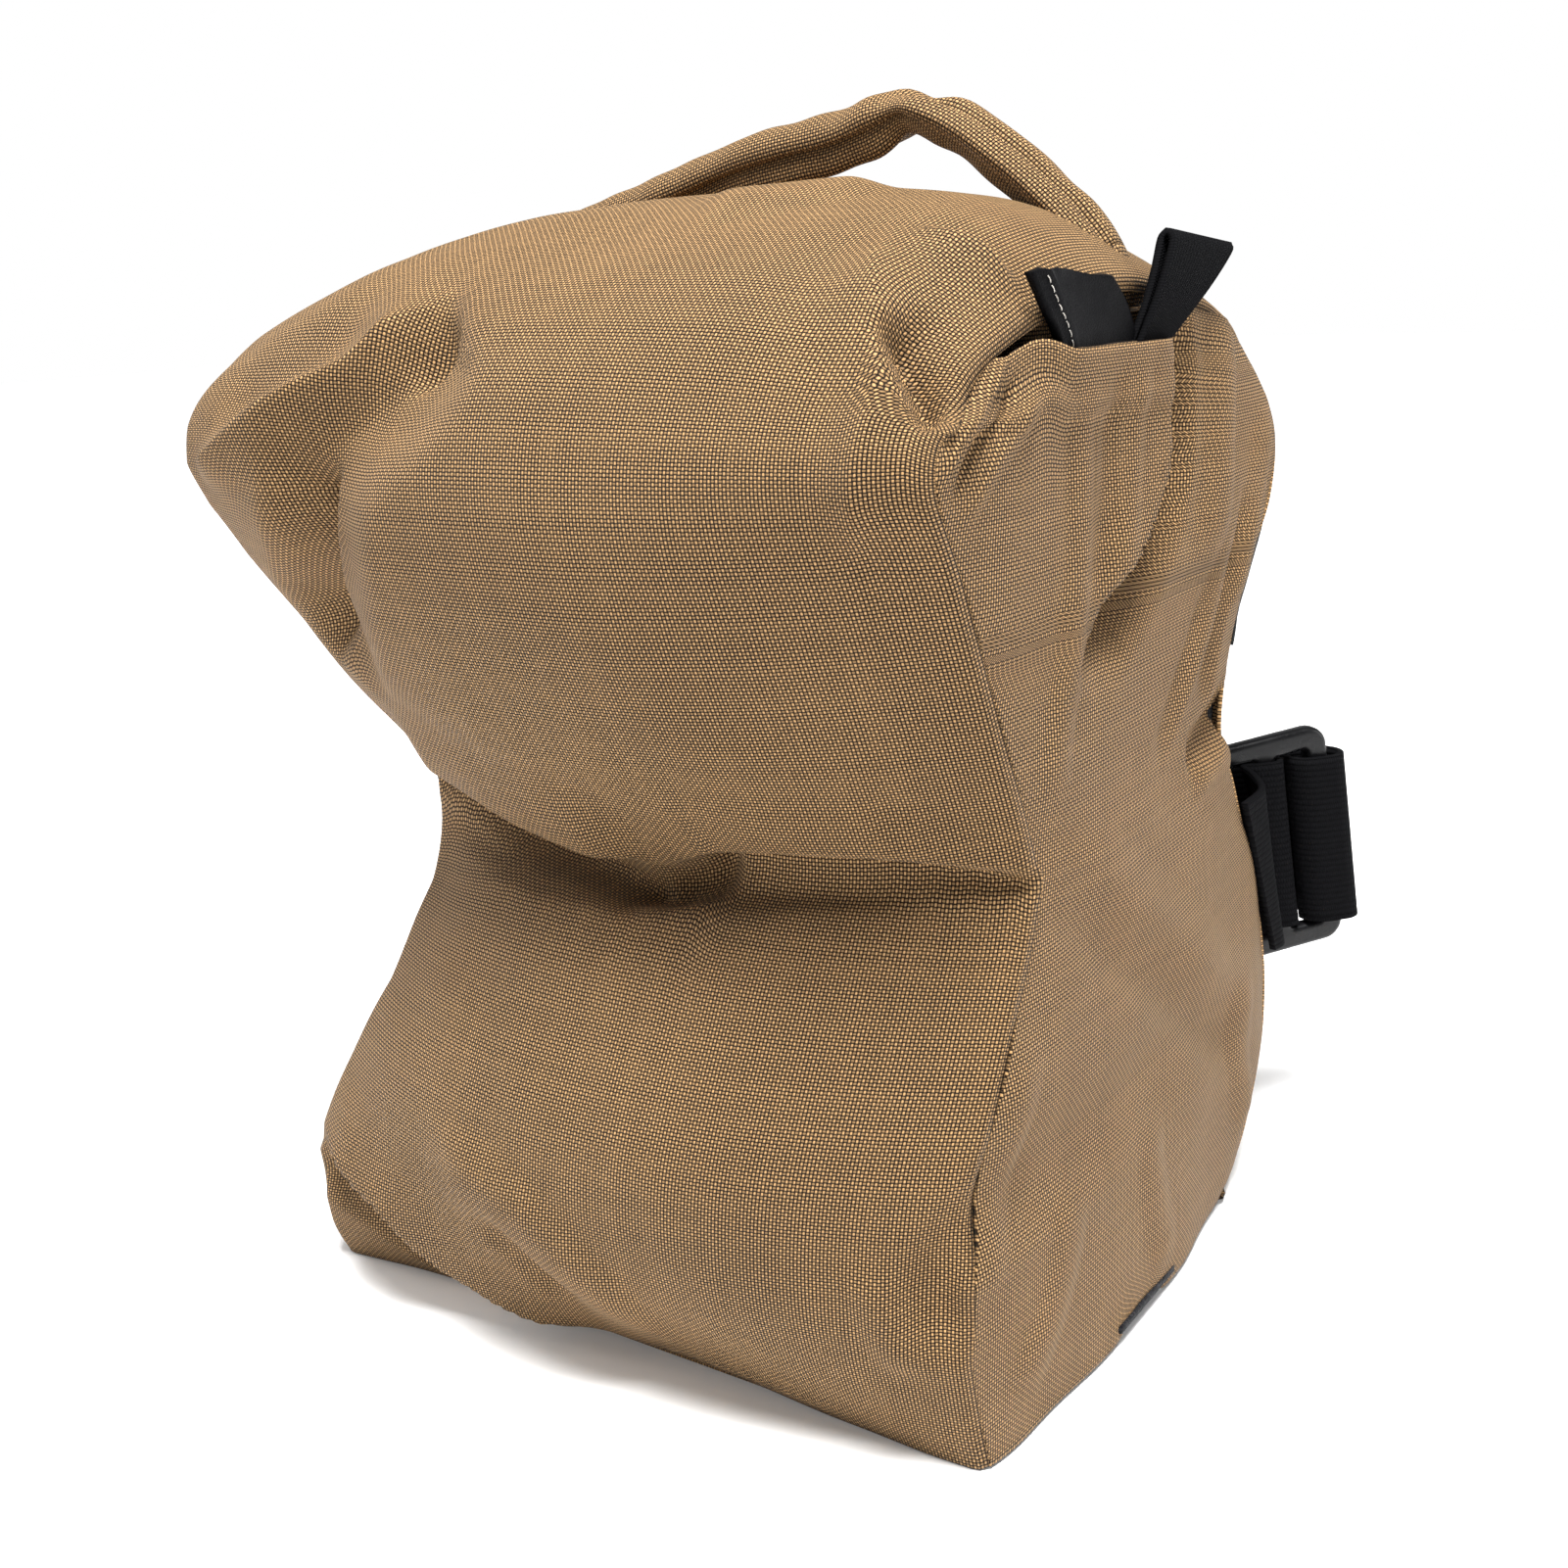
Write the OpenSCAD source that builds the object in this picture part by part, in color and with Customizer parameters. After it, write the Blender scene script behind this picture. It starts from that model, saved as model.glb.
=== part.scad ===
// Hourglass sandbag: a woven shell round a sand-filled liner, with a carry handle over its
// domed top, a strap with a sliding buckle behind its waist, and a fill mouth in its base.
// The bag stands on z = 0. Its length runs along X and its front faces -Y.

/* [Bag] */
// Length of the bag at its right end, from the middle
half_length = 74; // [70:1:80]
// Distance from the middle to the left end at the pinched waist
left_waist = 56; // [52:1:66]
// Distance from the middle to the left end at the upper lobe
left_top = 79; // [72:1:82]
// Height of the dome's crown
bag_height = 200; // [192:1:204]
// Height of the dome at the left end
left_end_height = 184; // [176:1:188]
// Height of the dome at the right end
right_end_height = 181; // [176:1:184]
// Height of the waist
waist_height = 98; // [92:1:102]
// Height at which the upper lobe is widest
shoulder_height = 156; // [150:1:160]
// How far the front bulges between its seams
front_bulge = 9; // [4:1:12]
// How far the back bulges between its seams
back_bulge = 5; // [2:1:6]

/* [Fabric] */
// Thickness of the woven shell
fabric_t = 1; // [0.8:0.1:1.2]
// Thickness of the liner's film
film_t = 0.4; // [0.3:0.1:0.5]
// Thickness of the tape that binds the seam allowances
binding_t = 0.8; // [0.6:0.1:0.8]
// Width of the binding tape
binding_w = 8; // [6:1:10]

/* [Handle] */
// Width of the handle's tube
handle_w = 12.6; // [12:0.2:13]
// Thickness of the handle's tube
handle_h = 10; // [9:0.5:10]
// Distance of the handle behind the middle of the bag
handle_y = 6; // [4:1:8]

/* [Strap] */
// Width of the webbing
strap_w = 38; // [36:1:39]
// Thickness of the webbing
strap_t = 1.2; // [1:0.1:1.4]
// Height of the webbing's centre line
strap_z = 66; // [65:0.5:67]
// Length of the slider along the webbing
slider_l = 30; // [30:0.5:31]
// Thickness of the slider
slider_t = 4; // [3.5:0.5:4]
// Direction of the doubled webbing, from the bag's length
strap_turn = 48; // [46:1:50]
// How far the slider leans, its lower end outwards
strap_lean = 8; // [6:1:9]

/* [Fill mouth] */
// Width of the hook and loop tapes
tape_w = 25; // [20:1:26]

/* [Hidden] */

khaki = "#a88760";
black = "#1b1b1d";

// The shell's outline across its depth, as [height, distance] where a wall turns
FRONT = [[0, -57], [34, -63], [waist_height - 3, -38], [shoulder_height, -67]];
BACK = [[0, 50], [38, 76], [waist_height + 7, 44], [shoulder_height, 69]];
LEFT = [[0, -76], [34, -76], [waist_height, -left_waist], [shoulder_height, -left_top]];
crest_y = -14;         // the dome's ridge
front_round = 2.4;     // superellipse power of the dome's front half
back_round = 1.8;      // and of its flatter back half
crown_round = 0.8;     // how quickly the dome rises from the end seams
wall_rows = 12;        // rows of facets up a wall
dome_rows = 6;         // and from a shoulder to the ridge
rows = wall_rows + dome_rows;
bays = 10;             // facets along the bag
binding_bays = binding_w * bays / (half_length + left_top);
ridge_turn = 87;       // the last row stops just short of the ridge
clear = 0.3;           // space between pieces that move
skin = 0.05;           // space between layers of one body
seat = 0.25;           // space between the wrap and the binding inside it

// Heights in the stack of layers at the base, over the flap's thickness
tape_t = 1.3;
loop_low = fabric_t + tape_t + clear;
inner_low = loop_low + tape_t + skin;
mouth_y = tape_w / 2 + 1.5;
base_lift = inner_low + fabric_t;
liner_z = base_lift + 7;
liner_side = fabric_t + binding_t + 2 * clear;
liner_end = 4.6;

throat_x = half_length - 3.4;      // outer face of the throat panel
throat_row = 9;                    // its lowest row
hem_row = wall_rows + 4;           // the end panel stops at this row
hem_drop = 8;

tab_x = half_length + 0.4;         // outer tab and loop, clear of the shell's edge
tab_z = 179.2;
tab_t = 2;
tab_y = [-36, -9];
tab_h = 10;
loop_t = 2.6;
loop_w = 22;
loop_h = 27;
loop_y = 11;
loop_lean = 38;

slider_h = strap_w + 12;
slot_w = 7.5;
bar_w = (slider_l - 2 * slot_w) / 3;
slot_x = slider_l - bar_w - slot_w / 2; // middle of the outer slot, which the slider leans about
slider_at = [57.8, 78];                 // where the middle of the slider's inner edge stands
ply_b = slider_t / 2 + 0.5 + strap_t / 2;

// ---- functions: the bag's surface ----
function ease(t) = (1 - cos(180 * t)) / 2;
function mix(a, b, t) = a + (b - a) * t;
function span(knots, z, i = 0) =
    (i >= len(knots) - 2 || z <= knots[i + 1][0])
        ? mix(knots[i][1], knots[i + 1][1],
              ease(min(1, (z - knots[i][0]) / (knots[i + 1][0] - knots[i][0]))))
        : span(knots, z, i + 1);
function belly(z) = (1 - cos(360 * z / waist_height)) / 2;
function arch(u) = sin(180 * min(1, max(0, u)));
function left_x(z) = span(LEFT, min(z, shoulder_height));

// Half profile of the shell: side is -1 for the front and 1 for the back, u runs from the
// left end to the right one, inset is the depth under the outer face, low is the first height
function wall_y(side, z, u, inset) =
    side < 0 ? span(FRONT, z) - front_bulge * belly(z) * pow(arch(u), 0.7) + inset
             : span(BACK, z) + back_bulge * belly(z) * pow(arch(u), 0.7) - inset;
function crown_z(u) =
    let(ends = mix(left_end_height, right_end_height, u))
    ends + (bag_height - (left_end_height + right_end_height) / 2) * pow(arch(u), crown_round);
function half_profile(side, i, u, inset, low) =
    i <= wall_rows
        ? let(z = mix(low, shoulder_height, i / wall_rows))
          [wall_y(side, z, u, inset), z]
        : let(a = ridge_turn * (i - wall_rows) / dome_rows,
              power = 2 / (side < 0 ? front_round : back_round),
              shoulder = wall_y(side, shoulder_height, u, inset),
              rise = crown_z(u) - shoulder_height - inset)
          [crest_y + (shoulder - crest_y) * pow(cos(a), power),
           shoulder_height + rise * pow(sin(a), power)];
function end_x(u, z, inset_x) = mix(left_x(z) + inset_x, half_length - inset_x, u);
function point(side, i, u, inset, inset_x, low) =
    let(p = half_profile(side, i, u, inset, low))
    [end_x(u, p[1], inset_x), p[0], p[1]];
function ring(u, inset, inset_x, low) =
    concat([for (i = [0 : rows]) point(-1, i, u, inset, inset_x, low)],
           [for (i = [rows : -1 : 0]) point(1, i, u, inset, inset_x, low)]);

// ---- functions and modules: closed solids ----
// Two triangles over four corners, which go clockwise as seen from outside
function quad(a, b, c, d) = [[a, b, c], [a, c, d]];

// A sheet between two grids of points of the same size, outer and inner
module sheet(outer, inner) {
    nr = len(outer);
    nc = len(outer[0]);
    half = nr * nc;
    points = concat([for (r = outer) each r], [for (r = inner) each r]);
    faces = concat(
        [for (r = [0 : nr - 2], c = [0 : nc - 2])
            each quad(r * nc + c, r * nc + c + 1, (r + 1) * nc + c + 1, (r + 1) * nc + c)],
        [for (r = [0 : nr - 2], c = [0 : nc - 2]) each
            [for (f = quad(r * nc + c, r * nc + c + 1, (r + 1) * nc + c + 1, (r + 1) * nc + c))
                [f[2] + half, f[1] + half, f[0] + half]]],
        [for (c = [0 : nc - 2])
            each quad(c + 1, c, c + half, c + 1 + half)],
        [for (c = [0 : nc - 2])
            each quad((nr - 1) * nc + c, (nr - 1) * nc + c + 1,
                      (nr - 1) * nc + c + 1 + half, (nr - 1) * nc + c + half)],
        [for (r = [0 : nr - 2])
            each quad(r * nc, (r + 1) * nc, (r + 1) * nc + half, r * nc + half)],
        [for (r = [0 : nr - 2])
            each quad((r + 1) * nc + nc - 1, r * nc + nc - 1,
                      r * nc + nc - 1 + half, (r + 1) * nc + nc - 1 + half)]);
    polyhedron(points, faces);
}

// The whole bag as one block, shrunk by the insets
module block(inset, inset_x, low) {
    n = 2 * (rows + 1);
    points = [for (k = [0 : bays]) each ring(k / bays, inset, inset_x, low)];
    faces = concat(
        [for (k = [0 : bays - 1], j = [0 : n - 1])
            each quad(k * n + j, k * n + (j + 1) % n, (k + 1) * n + (j + 1) % n, (k + 1) * n + j)],
        [for (i = [0 : rows - 1]) each quad(i, n - 1 - i, n - 2 - i, i + 1)],
        [for (i = [0 : rows - 1])
            each [for (f = quad(i, n - 1 - i, n - 2 - i, i + 1))
                [f[2] + bays * n, f[1] + bays * n, f[0] + bays * n]]]);
    polyhedron(points, faces);
}

// The wrap's outline at a place along the bag, in bays from its left edge
function wrap_ring(t, inset) =
    let(k = min(bays - 1, floor(t)),
        a = ring(k / bays, inset, fabric_t, 0),
        b = ring((k + 1) / bays, inset, fabric_t, 0))
    [for (j = [0 : len(a) - 1]) mix(a[j], b[j], t - k)];

// A band that follows the wrap from one depth to a deeper one
module wrap_band(shallow, deep, places) {
    sheet([for (t = places) wrap_ring(t, shallow)], [for (t = places) wrap_ring(t, deep)]);
}

// A patch over the bag's back, from one height above its face to a greater one
module back_patch(low, high) {
    function line(k, inset) =
        [for (i = [patch_rows[1] : -1 : patch_rows[0]]) point(1, i, k / bays, inset, fabric_t, 0)];
    sheet([for (k = [patch_bays[0] : patch_bays[1]]) line(k, -high)],
          [for (k = [patch_bays[0] : patch_bays[1]]) line(k, -low)]);
}

// A panel that closes an end: each row crosses from the front wall to the back one
module end_panel(low_x, high_x, u, inset, row_from, row_to) {
    steps = 6;
    function row(i, x) =
        let(f = half_profile(-1, i, u, inset, 0), b = half_profile(1, i, u, inset, 0),
            f2 = half_profile(-1, i, u, inset + fabric_t, 0),
            b2 = half_profile(1, i, u, inset + fabric_t, 0),
            across = concat([f], [for (c = [0 : steps]) mix(f2, b2, c / steps)], [b]))
        [for (p = across) [x(p[1]), p[0], p[1]]];
    sheet([for (i = [row_from : row_to]) row(i, low_x)],
          [for (i = [row_from : row_to]) row(i, high_x)]);
}

// A flat ribbon on edge: the lower edge follows one line in plan, the upper edge another
module ribbon(low_line, high_line, t, z0, z1) {
    n = len(low_line);
    function side(line, k) =
        let(a = line[max(0, k - 1)], b = line[min(n - 1, k + 1)], d = (b - a) / norm(b - a))
        [-d[1], d[0]] * t / 2;
    function grid(sign) =
        [for (k = [0 : n - 1]) let(a = low_line[k] + sign * side(low_line, k),
                                   b = high_line[k] + sign * side(high_line, k))
            [[a[0], a[1], z0], [b[0], b[1], z1]]];
    sheet(grid(-1), grid(1));
}

// A tube's solid along a line in the plane y = handle_y
module handle_run(w, h, line) {
    sides = 12;
    n = len(line);
    function section(k) =
        let(a = line[max(0, k - 1)], b = line[min(n - 1, k + 1)], d = (b - a) / norm(b - a))
        [for (j = [0 : sides - 1]) let(q = 360 * j / sides, r = h / 2 * sin(q))
            [line[k][0] - d[1] * r, handle_y + w / 2 * cos(q), line[k][1] + d[0] * r]];
    points = [for (k = [0 : n - 1]) each section(k)];
    faces = concat(
        [for (k = [0 : n - 2], j = [0 : sides - 1])
            each quad(k * sides + j, (k + 1) * sides + j,
                      (k + 1) * sides + (j + 1) % sides, k * sides + (j + 1) % sides)],
        [[for (j = [0 : sides - 1]) j]],
        [[for (j = [sides - 1 : -1 : 0]) (n - 1) * sides + j]]);
    polyhedron(points, faces);
}

module plate(x, y, z) {
    translate([x[0], y[0], z[0]]) cube([x[1] - x[0], y[1] - y[0], z[1] - z[0]]);
}

// Plan position of a point beside the slider: along the webbing, out from its face and above
// its middle
function beside(along, out, rise) =
    slider_at + (along - rise * tan(strap_lean)) * [cos(strap_turn), sin(strap_turn)]
        + out * [sin(strap_turn), -cos(strap_turn)];
function below(along, out) = beside(along, out, -strap_w / 2);
function above(along, out) = beside(along, out, strap_w / 2);

module on_strap() {
    at = beside(slot_x, 0, 0);
    translate([at[0], at[1], strap_z]) rotate([0, -strap_lean, strap_turn])
        translate([-slot_x, 0, 0]) children();
}

// ---- shell ----
module body_wrap() {
    color(khaki) wrap_band(0, fabric_t, [0 : bays]);
}

module end_panel_right() {
    color(khaki)
        end_panel(function(z) half_length - fabric_t, function(z) half_length, 1, 0, 0, hem_row);
}

module end_panel_left() {
    color(khaki)
        end_panel(function(z) left_x(z), function(z) left_x(z) + fabric_t, 0, 0, 0, rows);
}

module throat_panel() {
    color(khaki)
        end_panel(function(z) throat_x - fabric_t, function(z) throat_x, 1,
                  fabric_t + binding_t + skin, throat_row, rows);
}

module throat_hem() {
    hem_z = half_profile(1, hem_row, 1, fabric_t, 0)[1];
    color(khaki)
        plate([half_length - 2 * fabric_t - skin, half_length - fabric_t - skin],
              [-40, 17], [hem_z - hem_drop, hem_z]);
}

module seam_binding_right() {
    color(black) translate([-skin, 0, 0])
        wrap_band(fabric_t + seat, fabric_t + binding_t, [bays - binding_bays, bays]);
}

module seam_binding_left() {
    color(black) translate([skin, 0, 0])
        wrap_band(fabric_t + seat, fabric_t + binding_t, [0, binding_bays]);
}

// ---- base and its fill mouth ----
base_x = [left_x(0) + fabric_t + skin, half_length - fabric_t - skin];
base_in = fabric_t + binding_t + skin;

module base_front() {
    color(khaki)
        plate(base_x, [FRONT[0][1] + base_in, -mouth_y - clear], [0, fabric_t]);
}

module base_back() {
    color(khaki) {
        plate(base_x, [mouth_y + clear, BACK[0][1] - base_in], [0, fabric_t]);
        plate(base_x, [mouth_y + clear, mouth_y + clear + fabric_t], [0, base_lift]);
        plate(base_x, [-mouth_y, mouth_y + clear + fabric_t], [inner_low, base_lift]);
    }
}

module mouth_loop_strip() {
    color(black)
        plate(base_x, [-tape_w / 2, tape_w / 2], [loop_low, loop_low + tape_t]);
}

module mouth_flap() {
    color(khaki)
        plate(base_x + [clear, -clear], [-mouth_y, mouth_y], [0, fabric_t]);
}

module mouth_hook_strip() {
    color(black)
        plate(base_x + [clear, -clear], [-tape_w / 2, tape_w / 2], [fabric_t, fabric_t + tape_t]);
}

// ---- fill ----
neck_r = 2.4;
neck_z = base_lift + 3.5;
neck_l = 24;

module liner_bag() {
    color("white") {
        difference() {
            block(liner_side, liner_end, liner_z);
            block(liner_side + film_t, liner_end + film_t, liner_z + film_t);
        }
        translate([0, 0, neck_z]) rotate([-90, 0, 0]) cylinder(r = neck_r, h = neck_l, $fn = 24);
        translate([0, neck_r, neck_z]) cylinder(r = neck_r - 0.4, h = liner_z - neck_z + film_t / 2, $fn = 24);
    }
}

module liner_tie() {
    color("white")
        translate([0, neck_l / 2, neck_z]) rotate([-90, 0, 0]) rotate_extrude($fn = 32)
            translate([neck_r + skin, 0]) square([0.8, 3]);
}

module sand_fill() {
    gap = film_t + skin;
    color("#c9b48a") block(liner_side + gap, liner_end + gap, liner_z + gap);
}

// ---- handle ----
HANDLE = [[69, 193], [64, 198], [56, 203.5], [46, 209.5], [37, 213.5], [28, 215.5], [12, 214],
    [-8, 211.5], [-28, 208], [-46, 204], [-60, 199.5], [-68, 196]];
sleeve_t = 1.3;
root_l = 6.5;
root_w = 10;
root_t = 1.4;
right_root = [half_length - root_l, 184.2];
left_root = [-left_top + 1, 187.2];

module handle_root(at) {
    plate([at[0], at[0] + root_l], [handle_y - root_w / 2, handle_y + root_w / 2],
          [at[1], at[1] + root_t]);
}

module handle_root_right() {
    color(khaki) handle_root(right_root);
}

module handle_root_left() {
    color(khaki) handle_root(left_root);
}

module handle_bartacks() {
    color("#8f7350")
        for (at = [right_root, left_root])
            plate([at[0] + 2.5, at[0] + 4], [handle_y - root_w / 2 + 1, handle_y + root_w / 2 - 1],
                  [at[1] + root_t, at[1] + root_t + 0.4]);
}

module handle_sleeve() {
    first = HANDLE[0] + (HANDLE[0] - HANDLE[1]);
    last = HANDLE[len(HANDLE) - 1] * 2 - HANDLE[len(HANDLE) - 2];
    color(khaki) difference() {
        handle_run(handle_w, handle_h, HANDLE);
        handle_run(handle_w - 2 * sleeve_t, handle_h - 2 * sleeve_t, concat([first], HANDLE, [last]));
    }
}

module handle_core() {
    inside = 2 * (sleeve_t + skin);
    color("#4a4640") handle_run(handle_w - inside, handle_h - inside, HANDLE);
}

// ---- tab and loop in the open top edge ----
module label_tab() {
    color(black) plate([tab_x, tab_x + tab_t], tab_y, [tab_z, tab_z + tab_h]);
}

module pull_loop() {
    color(black) intersection() {
        translate([tab_x, loop_y, tab_z - loop_w / 2]) rotate([-loop_lean, 0, 0])
            translate([0, -loop_w / 2, 0]) cube([loop_t, loop_w, loop_h + loop_w / 2]);
        plate([tab_x - 1, tab_x + loop_t + 1], [tab_y[1] + clear, 60], [tab_z, 230]);
    }
}

// ---- patch on the back ----
patch_t = 1.2;
patch_bays = [7, 10];
patch_rows = [9, 12];

module back_loop_panel() {
    color(black) back_patch(skin, skin + patch_t);
}

module patch_cover() {
    low = skin + patch_t + clear;
    color(black) back_patch(low, low + patch_t);
}

// ---- strap ----
strap_low = strap_z - strap_w / 2;
strap_high = strap_z + strap_w / 2;
bight_r = 4.3;
bight_far = ply_b + strap_t + 0.6 + strap_t / 2;
bight_tail = slider_l - 9;         // where the webbing leaves the slider for the strap

module hand_strap() {
    low_line = [below(bight_tail, -bight_far) + [-0.6, -0.9], below(9, -bight_far - 0.6),
        [49, 85.6], [34, 85], [14, 84], [-10, 83], [-35, 81.4], [-54, 79.8], [-66, 78.4],
        [-76.5, 76.6]];
    high_line = [above(bight_tail, -bight_far) + [-0.6, -0.9], above(9, -bight_far - 0.6),
        [47, 85.6], [32, 85], [14, 84], [-8, 81], [-28, 74.5], [-42, 66], [-52, 58.6],
        [-60, 54]];
    color(black) ribbon(low_line, high_line, strap_t, strap_low, strap_high);
}

module strap_root() {
    end = 2 * bar_w + slot_w - 0.5;
    low_line = [[half_length + 1.2, 75.6], [half_length + 1, 80], below(end - 4, ply_b),
        below(end, ply_b)];
    high_line = [[half_length + 1.2, 56], [half_length + 0.6, 64], above(end - 4, ply_b),
        above(end, ply_b)];
    color(black) ribbon(low_line, high_line, strap_t, strap_low, strap_high);
}

module strap_bight() {
    turn = slider_l - 0.2;
    middle = (ply_b - bight_far) / 2;
    half_depth = (ply_b + bight_far) / 2;
    arc = [for (a = [90 : -22.5 : -90]) [turn + bight_r * cos(a), middle + half_depth * sin(a)]];
    local = concat([[slot_x, -1], [slot_x + 0.6, 1.6], [slot_x + slot_w / 2 - 0.6, ply_b]],
                   arc, [[bight_tail, -bight_far]]);
    color(black)
        ribbon([for (p = local) below(p[0], p[1])], [for (p = local) above(p[0], p[1])],
               strap_t, strap_low, strap_high);
}

module rounded(l, w, r) {
    translate([r, -w / 2]) square([l - 2 * r, w]);
    translate([0, -w / 2 + r]) square([l, w - 2 * r]);
    for (x = [r, l - r], y = [-w / 2 + r, w / 2 - r])
        translate([x, y]) circle(r = r, $fn = 48);
}

module slider() {
    color("#202124") on_strap() rotate([90, 0, 0]) translate([0, 0, -slider_t / 2])
        linear_extrude(slider_t) difference() {
            rounded(slider_l, slider_h, 4);
            for (x = [bar_w, 2 * bar_w + slot_w])
                translate([x, 0]) rounded(slot_w, strap_w + 2, 2);
        }
}

body_wrap();
end_panel_right();
end_panel_left();
throat_panel();
throat_hem();
seam_binding_right();
seam_binding_left();
base_front();
base_back();
mouth_loop_strip();
mouth_flap();
mouth_hook_strip();
liner_bag();
liner_tie();
sand_fill();
handle_root_right();
handle_root_left();
handle_bartacks();
handle_sleeve();
handle_core();
label_tab();
pull_loop();
back_loop_panel();
patch_cover();
hand_strap();
strap_root();
strap_bight();
slider();
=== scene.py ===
"""The sandbag's looks: woven shell with its folds, handle, tab, loop, strap, slider and patch.
Shapes are worked out in millimetres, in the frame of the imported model, and turned into metres
as each mesh is made. +X runs along the bag to its right end, the front faces -Y, +Z is up."""
import math

import bmesh
import bpy
import numpy as np
from mathutils import Matrix, Vector


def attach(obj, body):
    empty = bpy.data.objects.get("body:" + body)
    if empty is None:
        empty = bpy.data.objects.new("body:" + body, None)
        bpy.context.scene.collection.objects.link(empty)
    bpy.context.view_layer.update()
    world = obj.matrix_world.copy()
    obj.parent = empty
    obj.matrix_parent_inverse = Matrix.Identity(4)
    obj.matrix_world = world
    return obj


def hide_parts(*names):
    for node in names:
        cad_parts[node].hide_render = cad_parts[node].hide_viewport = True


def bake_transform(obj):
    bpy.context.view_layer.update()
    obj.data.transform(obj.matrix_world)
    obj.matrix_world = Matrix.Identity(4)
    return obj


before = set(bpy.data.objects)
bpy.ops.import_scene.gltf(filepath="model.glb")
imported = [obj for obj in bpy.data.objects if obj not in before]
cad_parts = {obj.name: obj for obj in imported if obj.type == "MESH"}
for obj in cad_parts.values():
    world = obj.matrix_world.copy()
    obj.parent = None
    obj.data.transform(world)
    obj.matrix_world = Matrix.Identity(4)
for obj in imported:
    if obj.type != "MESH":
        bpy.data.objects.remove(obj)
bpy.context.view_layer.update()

MM = 0.001
WEAVE = 0.62 * MM           # distance between threads of the shell's fabric
CLOTH = 0.8                 # thickness of the shell's fabric, in millimetres


# ---- small mathematics
def curve(points, t):
    """Catmull-Rom curve through the points, at parameters t from 0 to 1."""
    p = np.asarray(points, float)
    n = len(p) - 1
    p = np.vstack([2 * p[0] - p[1], p, 2 * p[-1] - p[-2]])
    s = np.clip(np.asarray(t, float) * n, 0, n - 1e-9)
    i = s.astype(int)
    f = (s - i)[:, None]
    a, b, c, d = p[i], p[i + 1], p[i + 2], p[i + 3]
    return 0.5 * (2 * b + (c - a) * f + (2 * a - 5 * b + 4 * c - d) * f ** 2
                  + (3 * b - a - 3 * c + d) * f ** 3)


def run_along(points):
    """The distance walked from the first point to each point of a line."""
    return np.concatenate([[0], np.cumsum(np.linalg.norm(np.diff(points, axis=0), axis=1))])


def run_across(g):
    """The same along each row of a grid."""
    steps = np.linalg.norm(np.diff(g, axis=1), axis=2)
    return np.concatenate([np.zeros((len(g), 1)), np.cumsum(steps, 1)], 1)


def even(points, count):
    """The curve through the points, cut into equal lengths."""
    fine = curve(points, np.linspace(0, 1, 400))
    run = run_along(fine)
    at = np.linspace(0, run[-1], count)
    return np.stack([np.interp(at, run, fine[:, k]) for k in range(fine.shape[1])], 1)


def smooth(x):
    """Eases from 0 to 1 as x goes from 0 to 1."""
    x = np.clip(x, 0, 1)
    return x * x * (3 - 2 * x)


def grid_normals(g):
    """Unit normals of a grid of points, along its columns' direction x its rows' direction."""
    n = np.cross(np.gradient(g, axis=1), np.gradient(g, axis=0))
    return n / np.maximum(np.linalg.norm(n, axis=2, keepdims=True), 1e-9)


def waves(p, size, seed):
    """Smooth noise from a few sine waves, about -1 to 1, for points in millimetres."""
    rng = np.random.default_rng(seed)
    total = 0
    for _ in range(7):
        k = rng.normal(size=3)
        k *= rng.uniform(0.7, 1.5) * 2 * math.pi / size / np.linalg.norm(k)
        total = total + np.sin(p @ k + rng.uniform(0, 6.28))
    return total / 3.2


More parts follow.
